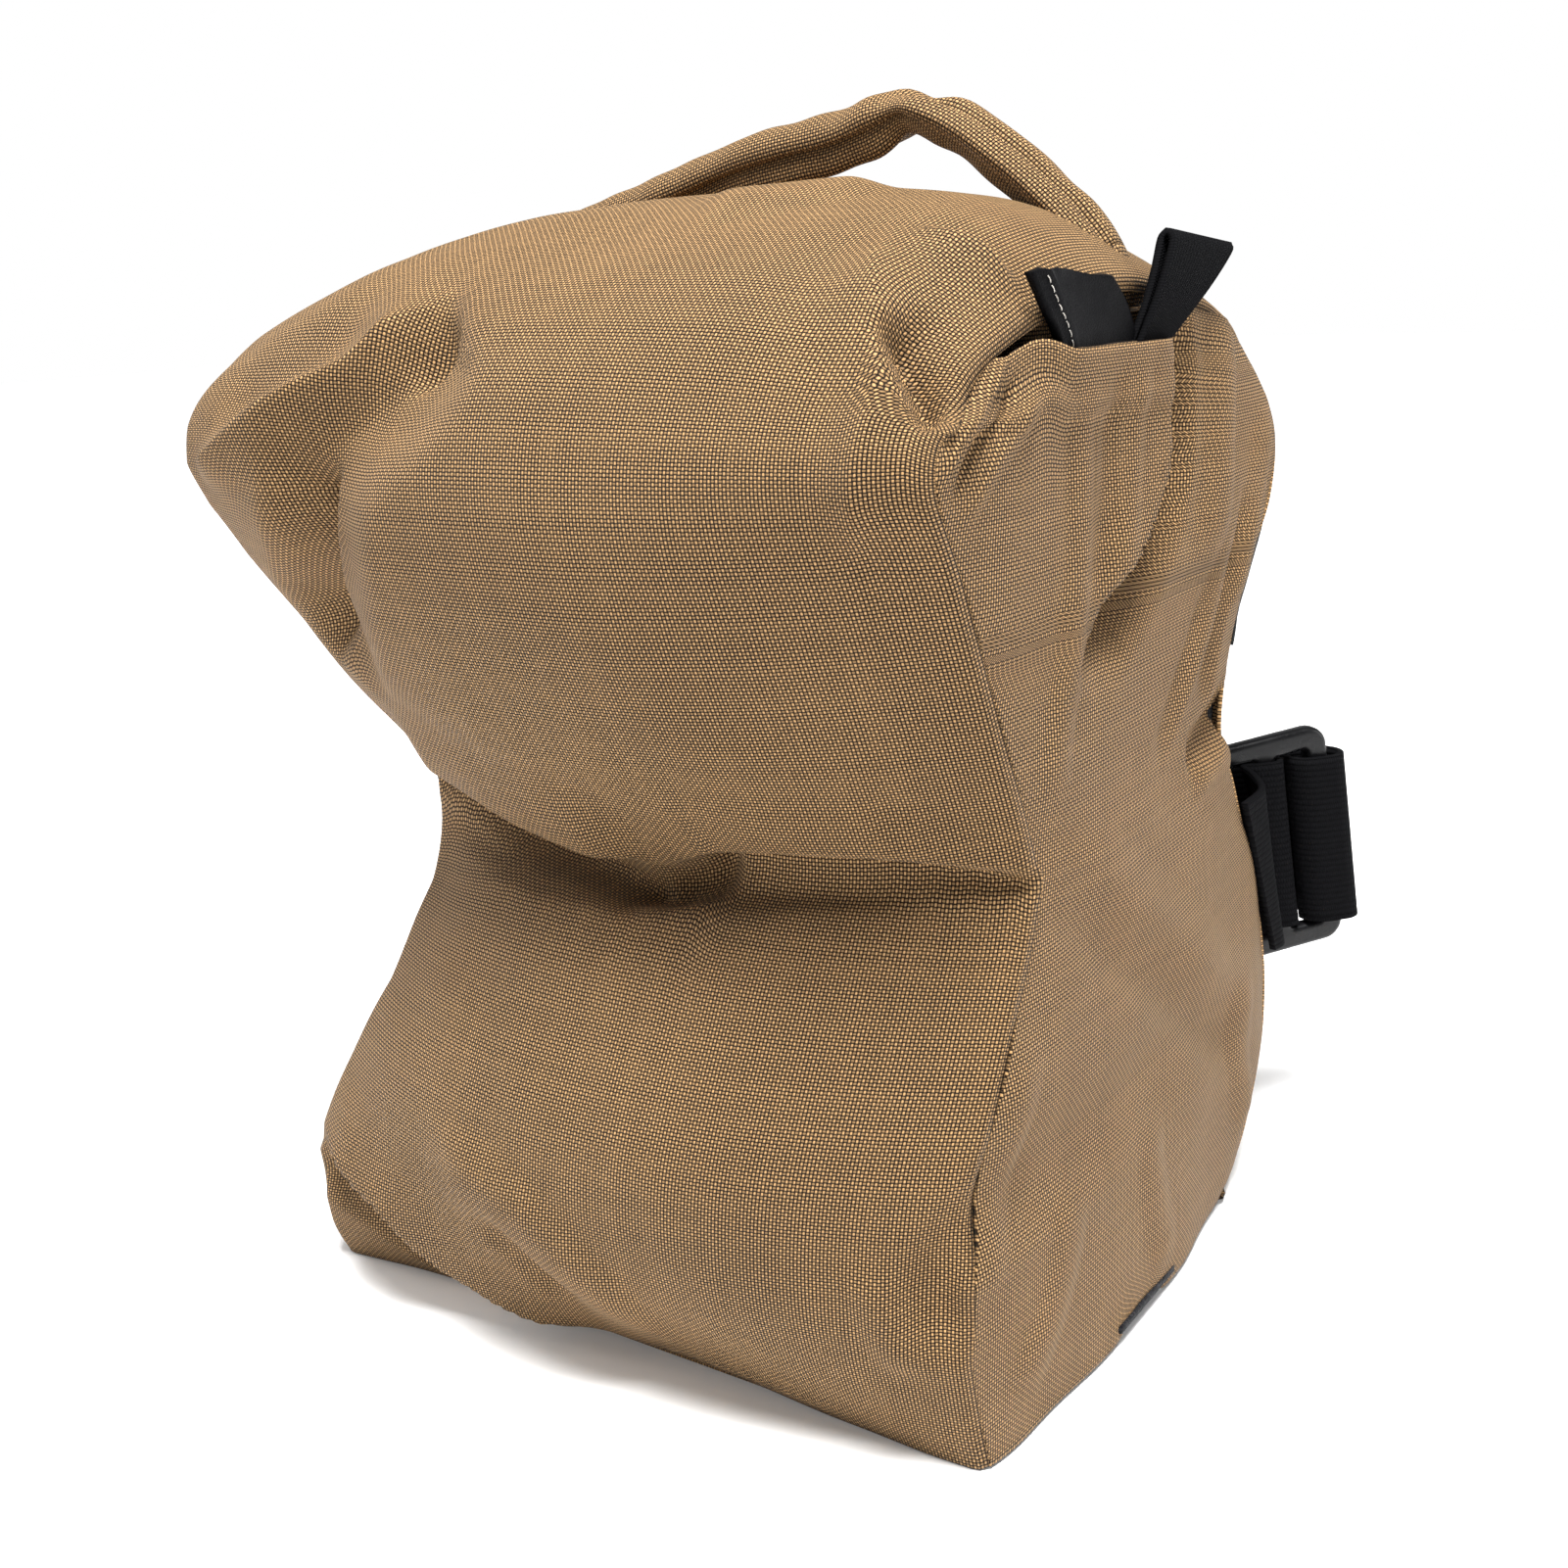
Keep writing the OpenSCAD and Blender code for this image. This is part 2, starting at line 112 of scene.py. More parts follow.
# ---- materials
class Nodes:
    """A small helper that adds shader nodes and wires them."""

    def __init__(self, owner):
        self.m = owner
        self.m.use_nodes = True
        self.t = self.m.node_tree
        self.bsdf = self.t.nodes.get("Principled BSDF")

    def link(self, a, b):
        self.t.links.new(a, b)

    def put(self, socket, v):
        """Gives a socket a number, or wires it to another node's output."""
        if isinstance(v, (int, float)):
            socket.default_value = v
        else:
            self.link(v, socket)

    def node(self, kind, **settings):
        n = self.t.nodes.new(kind)
        for k, v in settings.items():
            setattr(n, k, v)
        return n

    def math(self, op, a, b=None, clamp=False):
        n = self.node("ShaderNodeMath", operation=op, use_clamp=clamp)
        self.put(n.inputs[0], a)
        if b is not None:
            self.put(n.inputs[1], b)
        return n.outputs[0]

    def smooth(self, v, low, high, to=(0, 1)):
        n = self.node("ShaderNodeMapRange", interpolation_type="SMOOTHSTEP")
        self.link(v, n.inputs["Value"])
        for name, x in zip(("From Min", "From Max", "To Min", "To Max"), (low, high, *to)):
            n.inputs[name].default_value = x
        return n.outputs[0]

    def mix(self, f, a, b):
        n = self.node("ShaderNodeMix", data_type="RGBA")
        self.link(f, n.inputs[0])
        n.inputs[6].default_value = (*a, 1)
        n.inputs[7].default_value = (*b, 1)
        return n.outputs[2]

    def noise(self, vector, scale, detail=2.0):
        n = self.node("ShaderNodeTexNoise")
        n.inputs["Scale"].default_value = scale
        n.inputs["Detail"].default_value = detail
        self.link(vector, n.inputs["Vector"])
        return n.outputs["Fac"]

    def uv(self):
        n = self.node("ShaderNodeSeparateXYZ")
        self.link(self.node("ShaderNodeUVMap", uv_map="UVMap").outputs[0], n.inputs[0])
        return n.outputs[0], n.outputs[1]

    def place(self):
        return self.node("ShaderNodeTexCoord").outputs["Object"]

    def bump(self, height, distance):
        n = self.node("ShaderNodeBump")
        n.inputs["Distance"].default_value = distance
        self.link(height, n.inputs["Height"])
        self.link(n.outputs[0], self.bsdf.inputs["Normal"])

    def finish(self, colour, rough, specular, sheen=0.0):
        self.link(colour, self.bsdf.inputs["Base Color"])
        self.put(self.bsdf.inputs["Roughness"], rough)
        self.bsdf.inputs["Specular IOR Level"].default_value = specular
        self.bsdf.inputs["Sheen Weight"].default_value = sheen
        return self.m


def thread_jitter(k, cell):
    """White noise from the number of a thread."""
    n = k.node("ShaderNodeTexWhiteNoise", noise_dimensions="1D")
    k.link(cell, n.inputs["W"])
    return n.outputs["Value"]


def woven(name, light, gap_shade, pitch=WEAVE, sheen=0.03):
    """Plain weave on the UV map, which is in metres: threads cross over and under each other. Its
    colour has light painted in: a painted highlight on the threads' tops, brighter where the warp
    lies over, and painted shade in the gaps between threads.
    """
    k = Nodes(bpy.data.materials.new(name))
    u, v = k.uv()
    a = k.math("MULTIPLY", u, math.pi / pitch)
    b = k.math("MULTIPLY", v, math.pi / pitch)
    sa, sb = k.math("SINE", a), k.math("SINE", b)
    over = k.smooth(k.math("MULTIPLY", sa, sb), -0.12, 0.12)
    wide, narrow = k.math("ABSOLUTE", sa), k.math("ABSOLUTE", sb)
    warp = k.math("MULTIPLY", k.math("POWER", wide, 0.8), k.math("POWER", narrow, 0.35))
    weft = k.math("MULTIPLY", k.math("POWER", wide, 0.35), k.math("POWER", narrow, 0.8))
    height = k.math("ADD", k.math("MULTIPLY", warp, over),
                    k.math("MULTIPLY", weft, k.math("SUBTRACT", 1.0, over)))
    row = thread_jitter(k, k.math("FLOOR", k.math("DIVIDE", v, pitch)))
    column = thread_jitter(k, k.math("FLOOR", k.math("DIVIDE", u, pitch)))
    place = k.place()
    blotch = k.noise(place, 38.0, 3.0)
    fibre = k.noise(place, 2600.0, 1.0)
    shade = k.math("ADD", k.math("MULTIPLY", k.math("ADD", row, column), 0.04),
                   k.math("ADD", k.math("MULTIPLY", blotch, 0.12),
                          k.math("MULTIPLY", fibre, 0.20)))
    # lit: painted highlight on the thread tops, stronger where the warp lies over, and painted
    # shade (the dark colour) in the gaps between threads; row, column, blotch and fibre noise add
    # random tone
    lit = k.math("MULTIPLY", k.smooth(height, 0.38, 0.98),
                 k.math("ADD", 0.52, k.math("MULTIPLY", over, 0.5)))
    lit = k.math("ADD", lit, k.math("SUBTRACT", shade, 0.20), clamp=True)
    colour = k.mix(lit, gap_shade, light)
    k.bump(height, 0.16 * MM)
    rough = k.smooth(height, 0.0, 1.0, to=(0.85, 0.58))
    return k.finish(colour, rough, specular=0.12, sheen=sheen)


def shades(colour, low, high):
    """Two shades of a colour."""
    return tuple(c * low for c in colour), tuple(c * high for c in colour)


def webbing(name, colour, rib=1.3 * MM):
    """Ribbed webbing: ribs run along the strap, with fine threads across them. Its colour is
    painted lighter on the ribs' and threads' tops and darker in the grooves: a painted highlight
    and painted shade.
    """
    k = Nodes(bpy.data.materials.new(name))
    u, v = k.uv()
    thread = 0.5 * MM
    ribs = k.math("ABSOLUTE", k.math("SINE", k.math("MULTIPLY", u, math.pi / rib)))
    cell = k.math("FLOOR", k.math("DIVIDE", u, rib))
    slant = k.math("ADD", k.math("MULTIPLY", v, math.pi / thread),
                   k.math("MULTIPLY", cell, math.pi / 2))
    threads = k.math("ABSOLUTE", k.math("SINE", slant))
    height = k.math("MULTIPLY", k.math("POWER", ribs, 0.5),
                    k.math("ADD", 0.6, k.math("MULTIPLY", threads, 0.4)))
    fuzz = k.noise(k.place(), 3000.0, 1.0)
    # lit: painted highlight on the rib and thread tops and painted shade in the grooves, with
    # random fuzz tone
    lit = k.math("ADD", k.math("MULTIPLY", height, 0.75), k.math("MULTIPLY", fuzz, 0.3))
    k.bump(height, 0.25 * MM)
    return k.finish(k.mix(lit, *shades(colour, 0.35, 1.5)), 0.8, specular=0.02)


def pile(name, colour):
    """Fuzzy loop pile, painted darker where its bump is low and lighter where it is high: painted
    shade in its hollows and a painted highlight on its tips.
    """
    k = Nodes(bpy.data.materials.new(name))
    fine = k.noise(k.place(), 1500.0, 4.0)
    coarse = k.noise(k.place(), 320.0, 2.0)
    height = k.math("ADD", fine, k.math("MULTIPLY", coarse, 0.5))
    # colour follows the fine bump noise: painted shade in the hollows, painted highlight on the
    # tips
    shade = k.mix(k.smooth(fine, 0.35, 0.7), *shades(colour, 0.5, 1.8))
    k.bump(height, 0.5 * MM)
    return k.finish(shade, 0.95, specular=0.08, sheen=0.06)


def moulded(name, colour, rough):
    """Moulded plastic with a faint orange-peel and slightly worn gloss."""
    k = Nodes(bpy.data.materials.new(name))
    peel = k.noise(k.place(), 900.0, 2.0)
    worn = k.noise(k.place(), 140.0, 3.0)
    k.bump(peel, 0.03 * MM)
    shade = k.mix(worn, *shades(colour, 0.8, 1.25))
    return k.finish(shade, k.smooth(worn, 0.3, 0.7, to=(rough - 0.06, rough + 0.1)), specular=0.22)


def leatherette(name, colour):
    """Smooth coated cloth with very fine grain."""
    k = Nodes(bpy.data.materials.new(name))
    place = k.place()
    cells = k.node("ShaderNodeTexVoronoi", feature="DISTANCE_TO_EDGE")
    cells.inputs["Scale"].default_value = 1700.0
    k.link(place, cells.inputs["Vector"])
    grain = k.smooth(cells.outputs["Distance"], 0.0, 0.25)
    worn = k.noise(place, 220.0, 3.0)
    k.bump(grain, 0.04 * MM)
    shade = k.mix(worn, *shades(colour, 0.75, 1.4))
    return k.finish(shade, k.smooth(worn, 0.3, 0.7, to=(0.36, 0.5)), specular=0.03)


def grainy(name, colour, size, rough=0.9):
    """Sand, thread and other simple stuff in grains: each grain is painted lighter at its middle
    and darker towards its edge, a painted shade where grains meet.
    """
    k = Nodes(bpy.data.materials.new(name))
    grains = k.node("ShaderNodeTexVoronoi")
    grains.inputs["Scale"].default_value = 1 / size
    k.link(k.place(), grains.inputs["Vector"])
    # lighter at each grain's middle, darker towards where grains meet: painted shade
    shade = k.mix(grains.outputs["Distance"], *shades(colour, 1.3, 0.6))
    k.bump(grains.outputs["Distance"], size * 0.4)
    return k.finish(shade, rough, specular=0.3)


# For both woven cloths the darker colour is painted shade in the gaps between threads.
KHAKI = woven("shell_fabric", light=(0.452, 0.269, 0.118), gap_shade=(0.009, 0.0045, 0.0015))
WEB = webbing("black_webbing", (0.0035, 0.0035, 0.004))
LOOP_WEB = webbing("black_webbing_loop", (0.0035, 0.0035, 0.004), rib=1.1 * MM)
PATCH = woven("patch_fabric", (0.012, 0.012, 0.013), (0.003, 0.003, 0.003), pitch=0.5 * MM,
              sheen=0.01)
PILE = pile("loop_pile", (0.014, 0.014, 0.016))
HOOK = pile("hook_tape", (0.02, 0.02, 0.022))
BINDING = webbing("binding_tape", (0.02, 0.02, 0.021), rib=0.8 * MM)
PLASTIC = moulded("black_plastic", (0.0045, 0.0045, 0.005), 0.27)
LEATHER = leatherette("leatherette", (0.003, 0.003, 0.0035))
THREAD = grainy("khaki_thread", (0.20, 0.125, 0.06), 0.4 * MM, 0.7)
THREAD_PALE = grainy("pale_thread", (0.55, 0.52, 0.47), 0.4 * MM, 0.6)
SAND = grainy("sand", (0.60, 0.47, 0.30), 0.5 * MM)
FILM = moulded("liner_film", (0.72, 0.72, 0.69), 0.3)
TIE = moulded("tie_plastic", (0.7, 0.7, 0.67), 0.4)
CORE = webbing("core_webbing", (0.2, 0.19, 0.17))


# ---- meshes
def add_mesh(name, points, faces, uv, material):
    """A mesh object from points in millimetres. uv has one pair for each face corner, or is
    None for thread, whose material doesn't follow it."""
    mesh = bpy.data.meshes.new(name)
    mesh.from_pydata((np.asarray(points, float) * MM).tolist(), [], faces)
    mesh.validate()
    if uv is not None:
        layer = mesh.uv_layers.new(name="UVMap")
        layer.data.foreach_set("uv", (np.asarray(uv, float) * MM).astype(np.float32).ravel())
    mesh.shade_smooth()
    mesh.materials.append(material)
    piece = bpy.data.objects.new(name, mesh)
    bpy.context.scene.collection.objects.link(piece)
    return piece


def turn_outwards(piece):
    """Makes the faces of a closed mesh face out."""
    bm = bmesh.new()
    bm.from_mesh(piece.data)
    bmesh.ops.recalc_face_normals(bm, faces=bm.faces)
    bm.to_mesh(piece.data)
    bm.free()
    return piece


def slab(name, outer, inner, uv, material):
    """A closed sheet between two grids of points, outer and inner, with UVs given in mm."""
    nr, nc = outer.shape[:2]
    half = nr * nc
    points = np.concatenate([outer.reshape(-1, 3), inner.reshape(-1, 3)])
    at = np.arange(half).reshape(nr, nc)
    a, b, c, d = at[:-1, :-1], at[:-1, 1:], at[1:, 1:], at[1:, :-1]
    top = np.stack([a, b, c, d], -1).reshape(-1, 4)
    low = np.stack([a, d, c, b], -1).reshape(-1, 4) + half

    def strip(line):
        p, q = line[:-1], line[1:]
        return np.stack([p, q, q + half, p + half], -1)
    sides = np.concatenate([strip(at[0, ::-1]), strip(at[:, 0]), strip(at[-1]),
                            strip(at[::-1, -1])])
    faces = np.concatenate([top, low, sides])
    flat_uv = np.concatenate([uv.reshape(-1, 2)] * 2)
    return add_mesh(name, points, faces.tolist(), flat_uv[faces.ravel()], material)


def thick(name, g, t, uv, material):
    """A grid made into cloth of thickness t, inwards from its points."""
    return slab(name, g, g - grid_normals(g) * t, uv, material)


def tube(name, centres, sections, material):
    """Skins cross-sections, each an array of points round a centre, into a closed tube."""
    g = np.stack(sections)
    n, m = g.shape[:2]
    at = np.arange(n * m).reshape(n, m)
    after = np.roll(at, -1, 1)
    faces = np.stack([at[:-1], after[:-1], after[1:], at[1:]], -1).reshape(-1, 4).tolist()
    faces += [at[0, ::-1].tolist(), at[-1].tolist()]
    girth = run_along(np.concatenate([g[n // 2], g[n // 2, :1]]))
    uv = np.stack(np.meshgrid(girth, run_along(centres)), 2)
    uv = np.stack([uv[:-1, :-1], uv[:-1, 1:], uv[1:, 1:], uv[1:, :-1]], 2).reshape(-1, 2)
    caps = np.concatenate([g[0][::-1], g[-1]])[:, [0, 2]]
    return turn_outwards(add_mesh(name, g.reshape(-1, 3), faces, np.concatenate([uv, caps]),
                                  material))


def stitches(name, line, normals, length, gap, radius, material):
    """Short thread stitches along a line that lies on a surface with those normals. Each is a
    six-sided tube through five places, highest in the middle and sunk at its ends."""
    run = run_along(line)
    shares, rises = np.array([0, 0.2, 0.5, 0.8, 1]), np.array([-1.2, 0.1, 0.6, 0.1, -1.2])
    points, faces = [], []
    for i in range(int(run[-1] // (length + gap))):
        along = i * (length + gap) + gap / 2 + length * shares
        p = np.stack([np.interp(along, run, line[:, k]) for k in range(3)], 1)
        n = np.stack([np.interp(along, run, normals[:, k]) for k in range(3)], 1)
        n /= np.linalg.norm(n, axis=1, keepdims=True)
        p += n * (radius * rises)[:, None]
        d = p[-1] - p[0]
        side = np.cross(d, n[2])
        side /= max(np.linalg.norm(side), 1e-9)
        base = len(points)
        for q, m in zip(p, n):
            for a in range(6):
                w = a * math.pi / 3
                points.append(q + radius * (math.cos(w) * side + math.sin(w) * m))
        for r in range(4):
            for a in range(6):
                b = (a + 1) % 6
                faces.append([base + r * 6 + a, base + r * 6 + b,
                              base + r * 6 + 6 + b, base + r * 6 + 6 + a])
        faces.append([base + a for a in range(5, -1, -1)])
        faces.append([base + 24 + a for a in range(6)])
    return turn_outwards(add_mesh(name, points, faces, None, material))


def finish_piece(piece, body, slot, *nodes):
    """The piece rides a body. Its slot is not used, and nodes name the CAD it stands for."""
    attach(piece, body)
    if nodes:
        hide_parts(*nodes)


def finish_blend(piece, bodies, start, end, slot, *nodes):
    """For a piece that lies between two bodies: its place is baked into its mesh, and nodes name
    the CAD it stands for. Its bodies and slot are not used.
    """
    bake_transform(piece)
    if nodes:
        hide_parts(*nodes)


# ---- the bag's surface
# Outlines across the depth, as [y, z] from the front's lower edge over the dome to the back's
RIGHT = [[-57, 0], [-59.5, 10], [-62.5, 29], [-58.5, 50], [-47, 71], [-39, 86], [-37, 95],
         [-39.5, 104], [-48.5, 122], [-60, 145], [-68.5, 162], [-62, 172], [-46, 179.5],
         [-12, 186], [22, 184], [47, 176], [67, 160], [67, 144], [53, 126], [44, 105],
         [52, 90], [67, 63], [75, 40], [72, 22], [60, 6], [50, 0]]
MIDDLE = [[-56, 0], [-62, 6], [-74, 26], [-77, 50], [-66, 72], [-53, 85], [-48, 92],
          [-53, 99], [-66, 118], [-76, 142], [-77, 162], [-69, 180], [-50, 194.5],
          [-18, 203.5], [18, 197], [50, 183], [68, 163], [69, 143], [58, 124], [50, 104],
          [57, 88], [71, 62], [79, 40], [77, 22], [65, 6], [50, 0]]
LEFT = [[-60, 0], [-62, 8], [-64, 28], [-60, 50], [-50, 71], [-43, 86], [-41, 95],
        [-43, 104], [-51, 122], [-59, 145], [-65, 162], [-62, 174], [-42, 185],
        [-12, 190], [20, 187], [47, 177], [65, 160], [65, 144], [53, 126], [44, 105],
        [52, 90], [66, 63], [74, 40], [71, 22], [58, 6], [50, 0]]
# The left end's place along the bag, as [z, x]
LEFT_X = np.array([[0, -73], [8, -74.5], [24, -74], [43, -66], [62, -57], [80, -53], [96, -54],
                   [104, -54], [114, -60], [132, -71], [144, -80], [153, -85], [161, -86.5],
                   [168, -84.5], [178, -80], [190, -78]], float)
RIGHT_X = 73.5
BELLY_POWER = 2.3
COLS, ROWS = 120, 400


def base_wrap(cols=COLS, rows=ROWS):
    """The wrap before its folds: a grid of points, rows up the front and over to the back, and
    the rows' places along the cloth. Rows are closer together on the front."""
    t = np.linspace(0, 1, 500)
    run = run_along(curve(MIDDLE, t))
    density = 1.0 - 0.42 * smooth((run / run[-1] - 0.42) / 0.15)
    count = np.concatenate([[0], np.cumsum(np.diff(run) * (density[1:] + density[:-1]) / 2)])
    places = np.interp(np.linspace(0, count[-1], rows), count, run)
    t = np.interp(places, run, t)
    right, middle, left = curve(RIGHT, t), curve(MIDDLE, t), curve(LEFT, t)
    u = np.linspace(0, 1, cols)[None]
    crown = smooth((middle[:, 1:] - 172) / 24)
    power = BELLY_POWER + crown * np.where(u < 0.5, 0.9, 3.6)
    swell = (1 - np.abs(2 * u - 1) ** power)[..., None]
    seam = left[:, None] * (1 - u)[..., None] + right[:, None] * u[..., None]
    yz = seam * (1 - swell) + middle[:, None] * swell
    x0 = np.interp(left[:, 1], LEFT_X[:, 0], LEFT_X[:, 1])[:, None]
    x = x0 + (RIGHT_X - x0) * u
    return np.concatenate([x[..., None], yz], 2), places


def stroke(g, n, where, line, height, radius, other, shape="soft", taper=0.25):
    """One fold along a line, as the displacement of grid points with normals n.
    where names the two axes that the line is drawn in. height is outwards in mm, radius is the
    fold's reach on the line's left side and other on its right side. taper is the share of the
    line over which each end fades in."""
    pts = g[..., {"front": (0, 2), "top": (0, 1), "end": (1, 2)}[where]]
    p = even(line, 40)
    best = np.full(pts.shape[:2], 1e9)
    side = np.zeros_like(best)
    along = np.zeros_like(best)
    for i in range(len(p) - 1):
        a, d = p[i], p[i + 1] - p[i]
        w = pts - a
        s = np.clip((w @ d) / (d @ d), 0, 1)
        dist = np.linalg.norm(w - s[..., None] * d, axis=2)
        near = dist < best
        best = np.where(near, dist, best)
        side = np.where(near, d[0] * w[..., 1] - d[1] * w[..., 0], side)
        along = np.where(near, (i + s) / (len(p) - 1), along)
    x = np.clip(best / np.where(side > 0, radius, other), 0, 1)
    f = (1 - x * x) ** 2 if shape == "soft" else (1 - x) ** 2 * (1 + 0.6 * x)
    ends = smooth(along / taper) * smooth((1 - along) / taper)
    return (height * f * ends)[..., None] * n


# Folds, each as its line, its height, its reach to the left and right of the line, its shape and
# its taper
FRONT_FOLDS = [
    # the ear at the top left: a sharp ridge, a hollow face under it and a valley
    ([[-81, 158.5], [-76, 161], [-68, 164], [-55, 170], [-45, 175], [-37, 179], [-32, 183],
      [-27, 187], [-21, 192]], 4.6, 6, 9, "crest", 0.2),
    ([[-78, 170], [-62, 176], [-48, 182], [-34, 189]], -3.2, 8, 7, "soft", 0.3),
    ([[-16, 190], [-19, 186], [-22, 181], [-26, 177], [-33, 173], [-39, 167], [-43, 161],
      [-45, 154], [-48, 146], [-53, 137], [-62, 126]], -5.8, 19, 14, "soft", 0.12),
    ([[-17, 188], [-21, 182], [-26, 177]], -2.5, 4, 7, "soft", 0.35),
    ([[-41, 165], [-43, 159], [-45, 151], [-48, 143], [-53, 134], [-62, 124]],
     -4.6, 3, 12, "crest", 0.15),
    # the waist: the upper lobe rolls over a crease, with a pocket where its two halves meet
    ([[-56, 108], [-40, 104], [-24, 99], [-8, 96.5], [5, 94]], 3.2, 14, 6, "soft", 0.2),
    ([[-54, 103], [-42, 99.5], [-34, 96.5], [-24, 93.5], [-10, 91.5], [2, 89.5], [9, 87.5]],
     -6.5, 4, 6.5, "crest", 0.1),
    ([[2, 91], [8, 89.5], [16, 91.5], [24, 94]], -6.0, 4, 4.5, "soft", 0.35),
    ([[14, 92.5], [24, 95], [36, 96.5], [52, 97], [66, 96], [76, 95]],
     -3.6, 3.5, 4.5, "crest", 0.12),
    ([[-50, 88], [-30, 84], [-8, 82], [20, 85], [50, 89], [70, 89]], 1.8, 5, 14, "soft", 0.2),
    ([[16, 99], [34, 102], [54, 102.5], [70, 101]], 1.4, 9, 5, "soft", 0.3),
    ([[52, 104], [55.5, 109.5], [59, 113]], -0.5, 3.5, 3.5, "soft", 0.4),
    ([[60, 88], [63, 84.5], [66, 79]], -0.5, 3.5, 3.5, "soft", 0.4),
    # the lower lobe
    ([[-74, 33], [-66, 31], [-55, 26.5], [-46, 23], [-39, 15], [-29, 9.5], [-17, 5.5],
      [-2, 3.5]], 4.2, 15, 5, "crest", 0.22),
    ([[-76, 24], [-60, 18], [-50, 13], [-40, 7], [-26, 2]], -4.5, 8, 9, "soft", 0.2),
    ([[-34, 42], [-20, 40], [-10, 37], [-1, 30], [7, 19], [12, 4]], 2.6, 9, 14),
    ([[-22, 30], [-12, 24], [-4, 12]], -1.8, 7, 7, "soft", 0.3),
    ([[79, 58], [76, 50], [72, 43], [69, 36], [70, 29], [73, 22]], -3.6, 7, 8),
    ([[58, 40], [61, 28], [64, 17]], 1.6, 6, 6, "soft", 0.3),
]
CORNER_FOLDS = [
    ([[48, 196], [54, 191.5], [59, 185], [62.5, 178], [64, 170], [63, 160], [60, 150]],
     3.2, 6, 9, "crest", 0.22),
    ([[60, 183.5], [63, 180], [66.5, 176], [69.5, 172], [72.5, 168.5]],
     -7.0, 8, 1.9, "crest"),
]
TOP_FOLDS = [
    ([[54, -41], [60, -39], [66, -37.5], [71.5, -36]], 3.0, 4, 11, "crest", 0.4),
    ([[8, -34], [26, -24], [38, -14]], 2.0, 16, 14),
]
BACK_FOLDS = [
    ([[-60, 106], [-30, 104], [0, 105], [40, 104], [74, 105]], -3.6, 9, 6, "crest", 0.15),
    ([[-74, 150], [-56, 138], [-40, 120], [-26, 108]], -3.0, 9, 9),
    ([[-66, 162], [-46, 150], [-28, 130]], 2.0, 9, 9),
    ([[72, 128], [52, 118], [30, 108]], -1.8, 6, 7),
    ([[10, 150], [6, 130], [10, 112]], 1.8, 10, 10),
    ([[-70, 20], [-48, 16], [-24, 7]], 2.6, 9, 7),
    ([[70, 70], [50, 40], [44, 14]], 1.8, 10, 12),
    ([[-56, 90], [-36, 70], [-30, 46]], -2.0, 9, 9),
]


def wrap_folds(g):
    """The wrap with its folds. A fold moves only the rows of its own side of the bag."""
    n = grid_normals(g)
    d = np.zeros_like(g)
    crest = int(np.argmax(g[:, COLS // 2, 2]))
    front, corner, back = slice(0, crest), slice(crest // 2, crest + 8), slice(crest, len(g))
    for rows, where, folds in ((front, "front", FRONT_FOLDS), (corner, "front", CORNER_FOLDS),
                               (corner, "top", TOP_FOLDS), (back, "front", BACK_FOLDS)):
        for fold in folds:
            d[rows] += stroke(g[rows], n[rows], where, *fold)
    d += n * (waves(g, 46, 3) * 0.5 + waves(g, 19, 4) * 0.16)[..., None]
    return g + d


def tuck_edges(g, depth=1.6, reach=2.4):
    """The two ends of the wrap turn inwards into their seams."""
    n = grid_normals(g)
    from_left = run_across(g)
    from_right = from_left[:, -1:] - from_left
    for gap in (from_left, from_right):
        x = np.clip(1 - gap / reach, 0, 1)
        g = g - n * (depth * (1 - np.sqrt(1 - np.minimum(x, 0.995) ** 2)))[..., None]
    return g


def taken_up(plain, creased, axis, reach):
    """The extra cloth that the folds take up along an axis, in mm. Its slow part is left out, so
    that the threads stay straight away from the folds."""
    steps = [np.linalg.norm(np.diff(g, axis=axis), axis=2) for g in (creased, plain)]
    extra = np.insert(np.cumsum(steps[0] - steps[1], axis), 0, 0, axis)
    weights = np.exp(-(np.arange(-2 * reach, 2 * reach + 1) / reach) ** 2)
    pad = [(2 * reach, 2 * reach) if k == axis else (0, 0) for k in (0, 1)]
    slow = np.apply_along_axis(np.convolve, axis, np.pad(extra, pad, mode="edge"),
                               weights / weights.sum(), "valid")
    return extra - slow


def wrap_uv(grid, creased, places):
    """The fabric's own directions: threads run along the bag and up its height."""
    u = run_across(grid)
    u = u - u[:, -1:] + taken_up(grid, creased, 1, 9)
    return np.stack([u, places[:, None] + taken_up(grid, creased, 0, 18)], 2)


base, places = base_wrap()
folded = tuck_edges(wrap_folds(base))
uv_wrap = wrap_uv(base, folded, places)
wrap = thick("body_wrap_fabric", folded, CLOTH, uv_wrap, KHAKI)
finish_piece(wrap, "bag", "shell_fabric", "body_wrap")


# ---- end panels
HEM_Z = 177.6


def seam_line(column, low, high, backwards=False):
    """The wrap's edge at one end, between two heights, on the front or the back."""
    g = folded[:, column]
    crest = int(np.argmax(g[:, 2]))
    part = g[crest:][::-1] if backwards else g[:crest]
    z = np.linspace(low, high, 160)
    order = np.maximum.accumulate(part[:, 2])
    return np.stack([np.interp(z, order + np.arange(len(order)) * 1e-6, part[:, k])
                     for k in range(3)], 1)


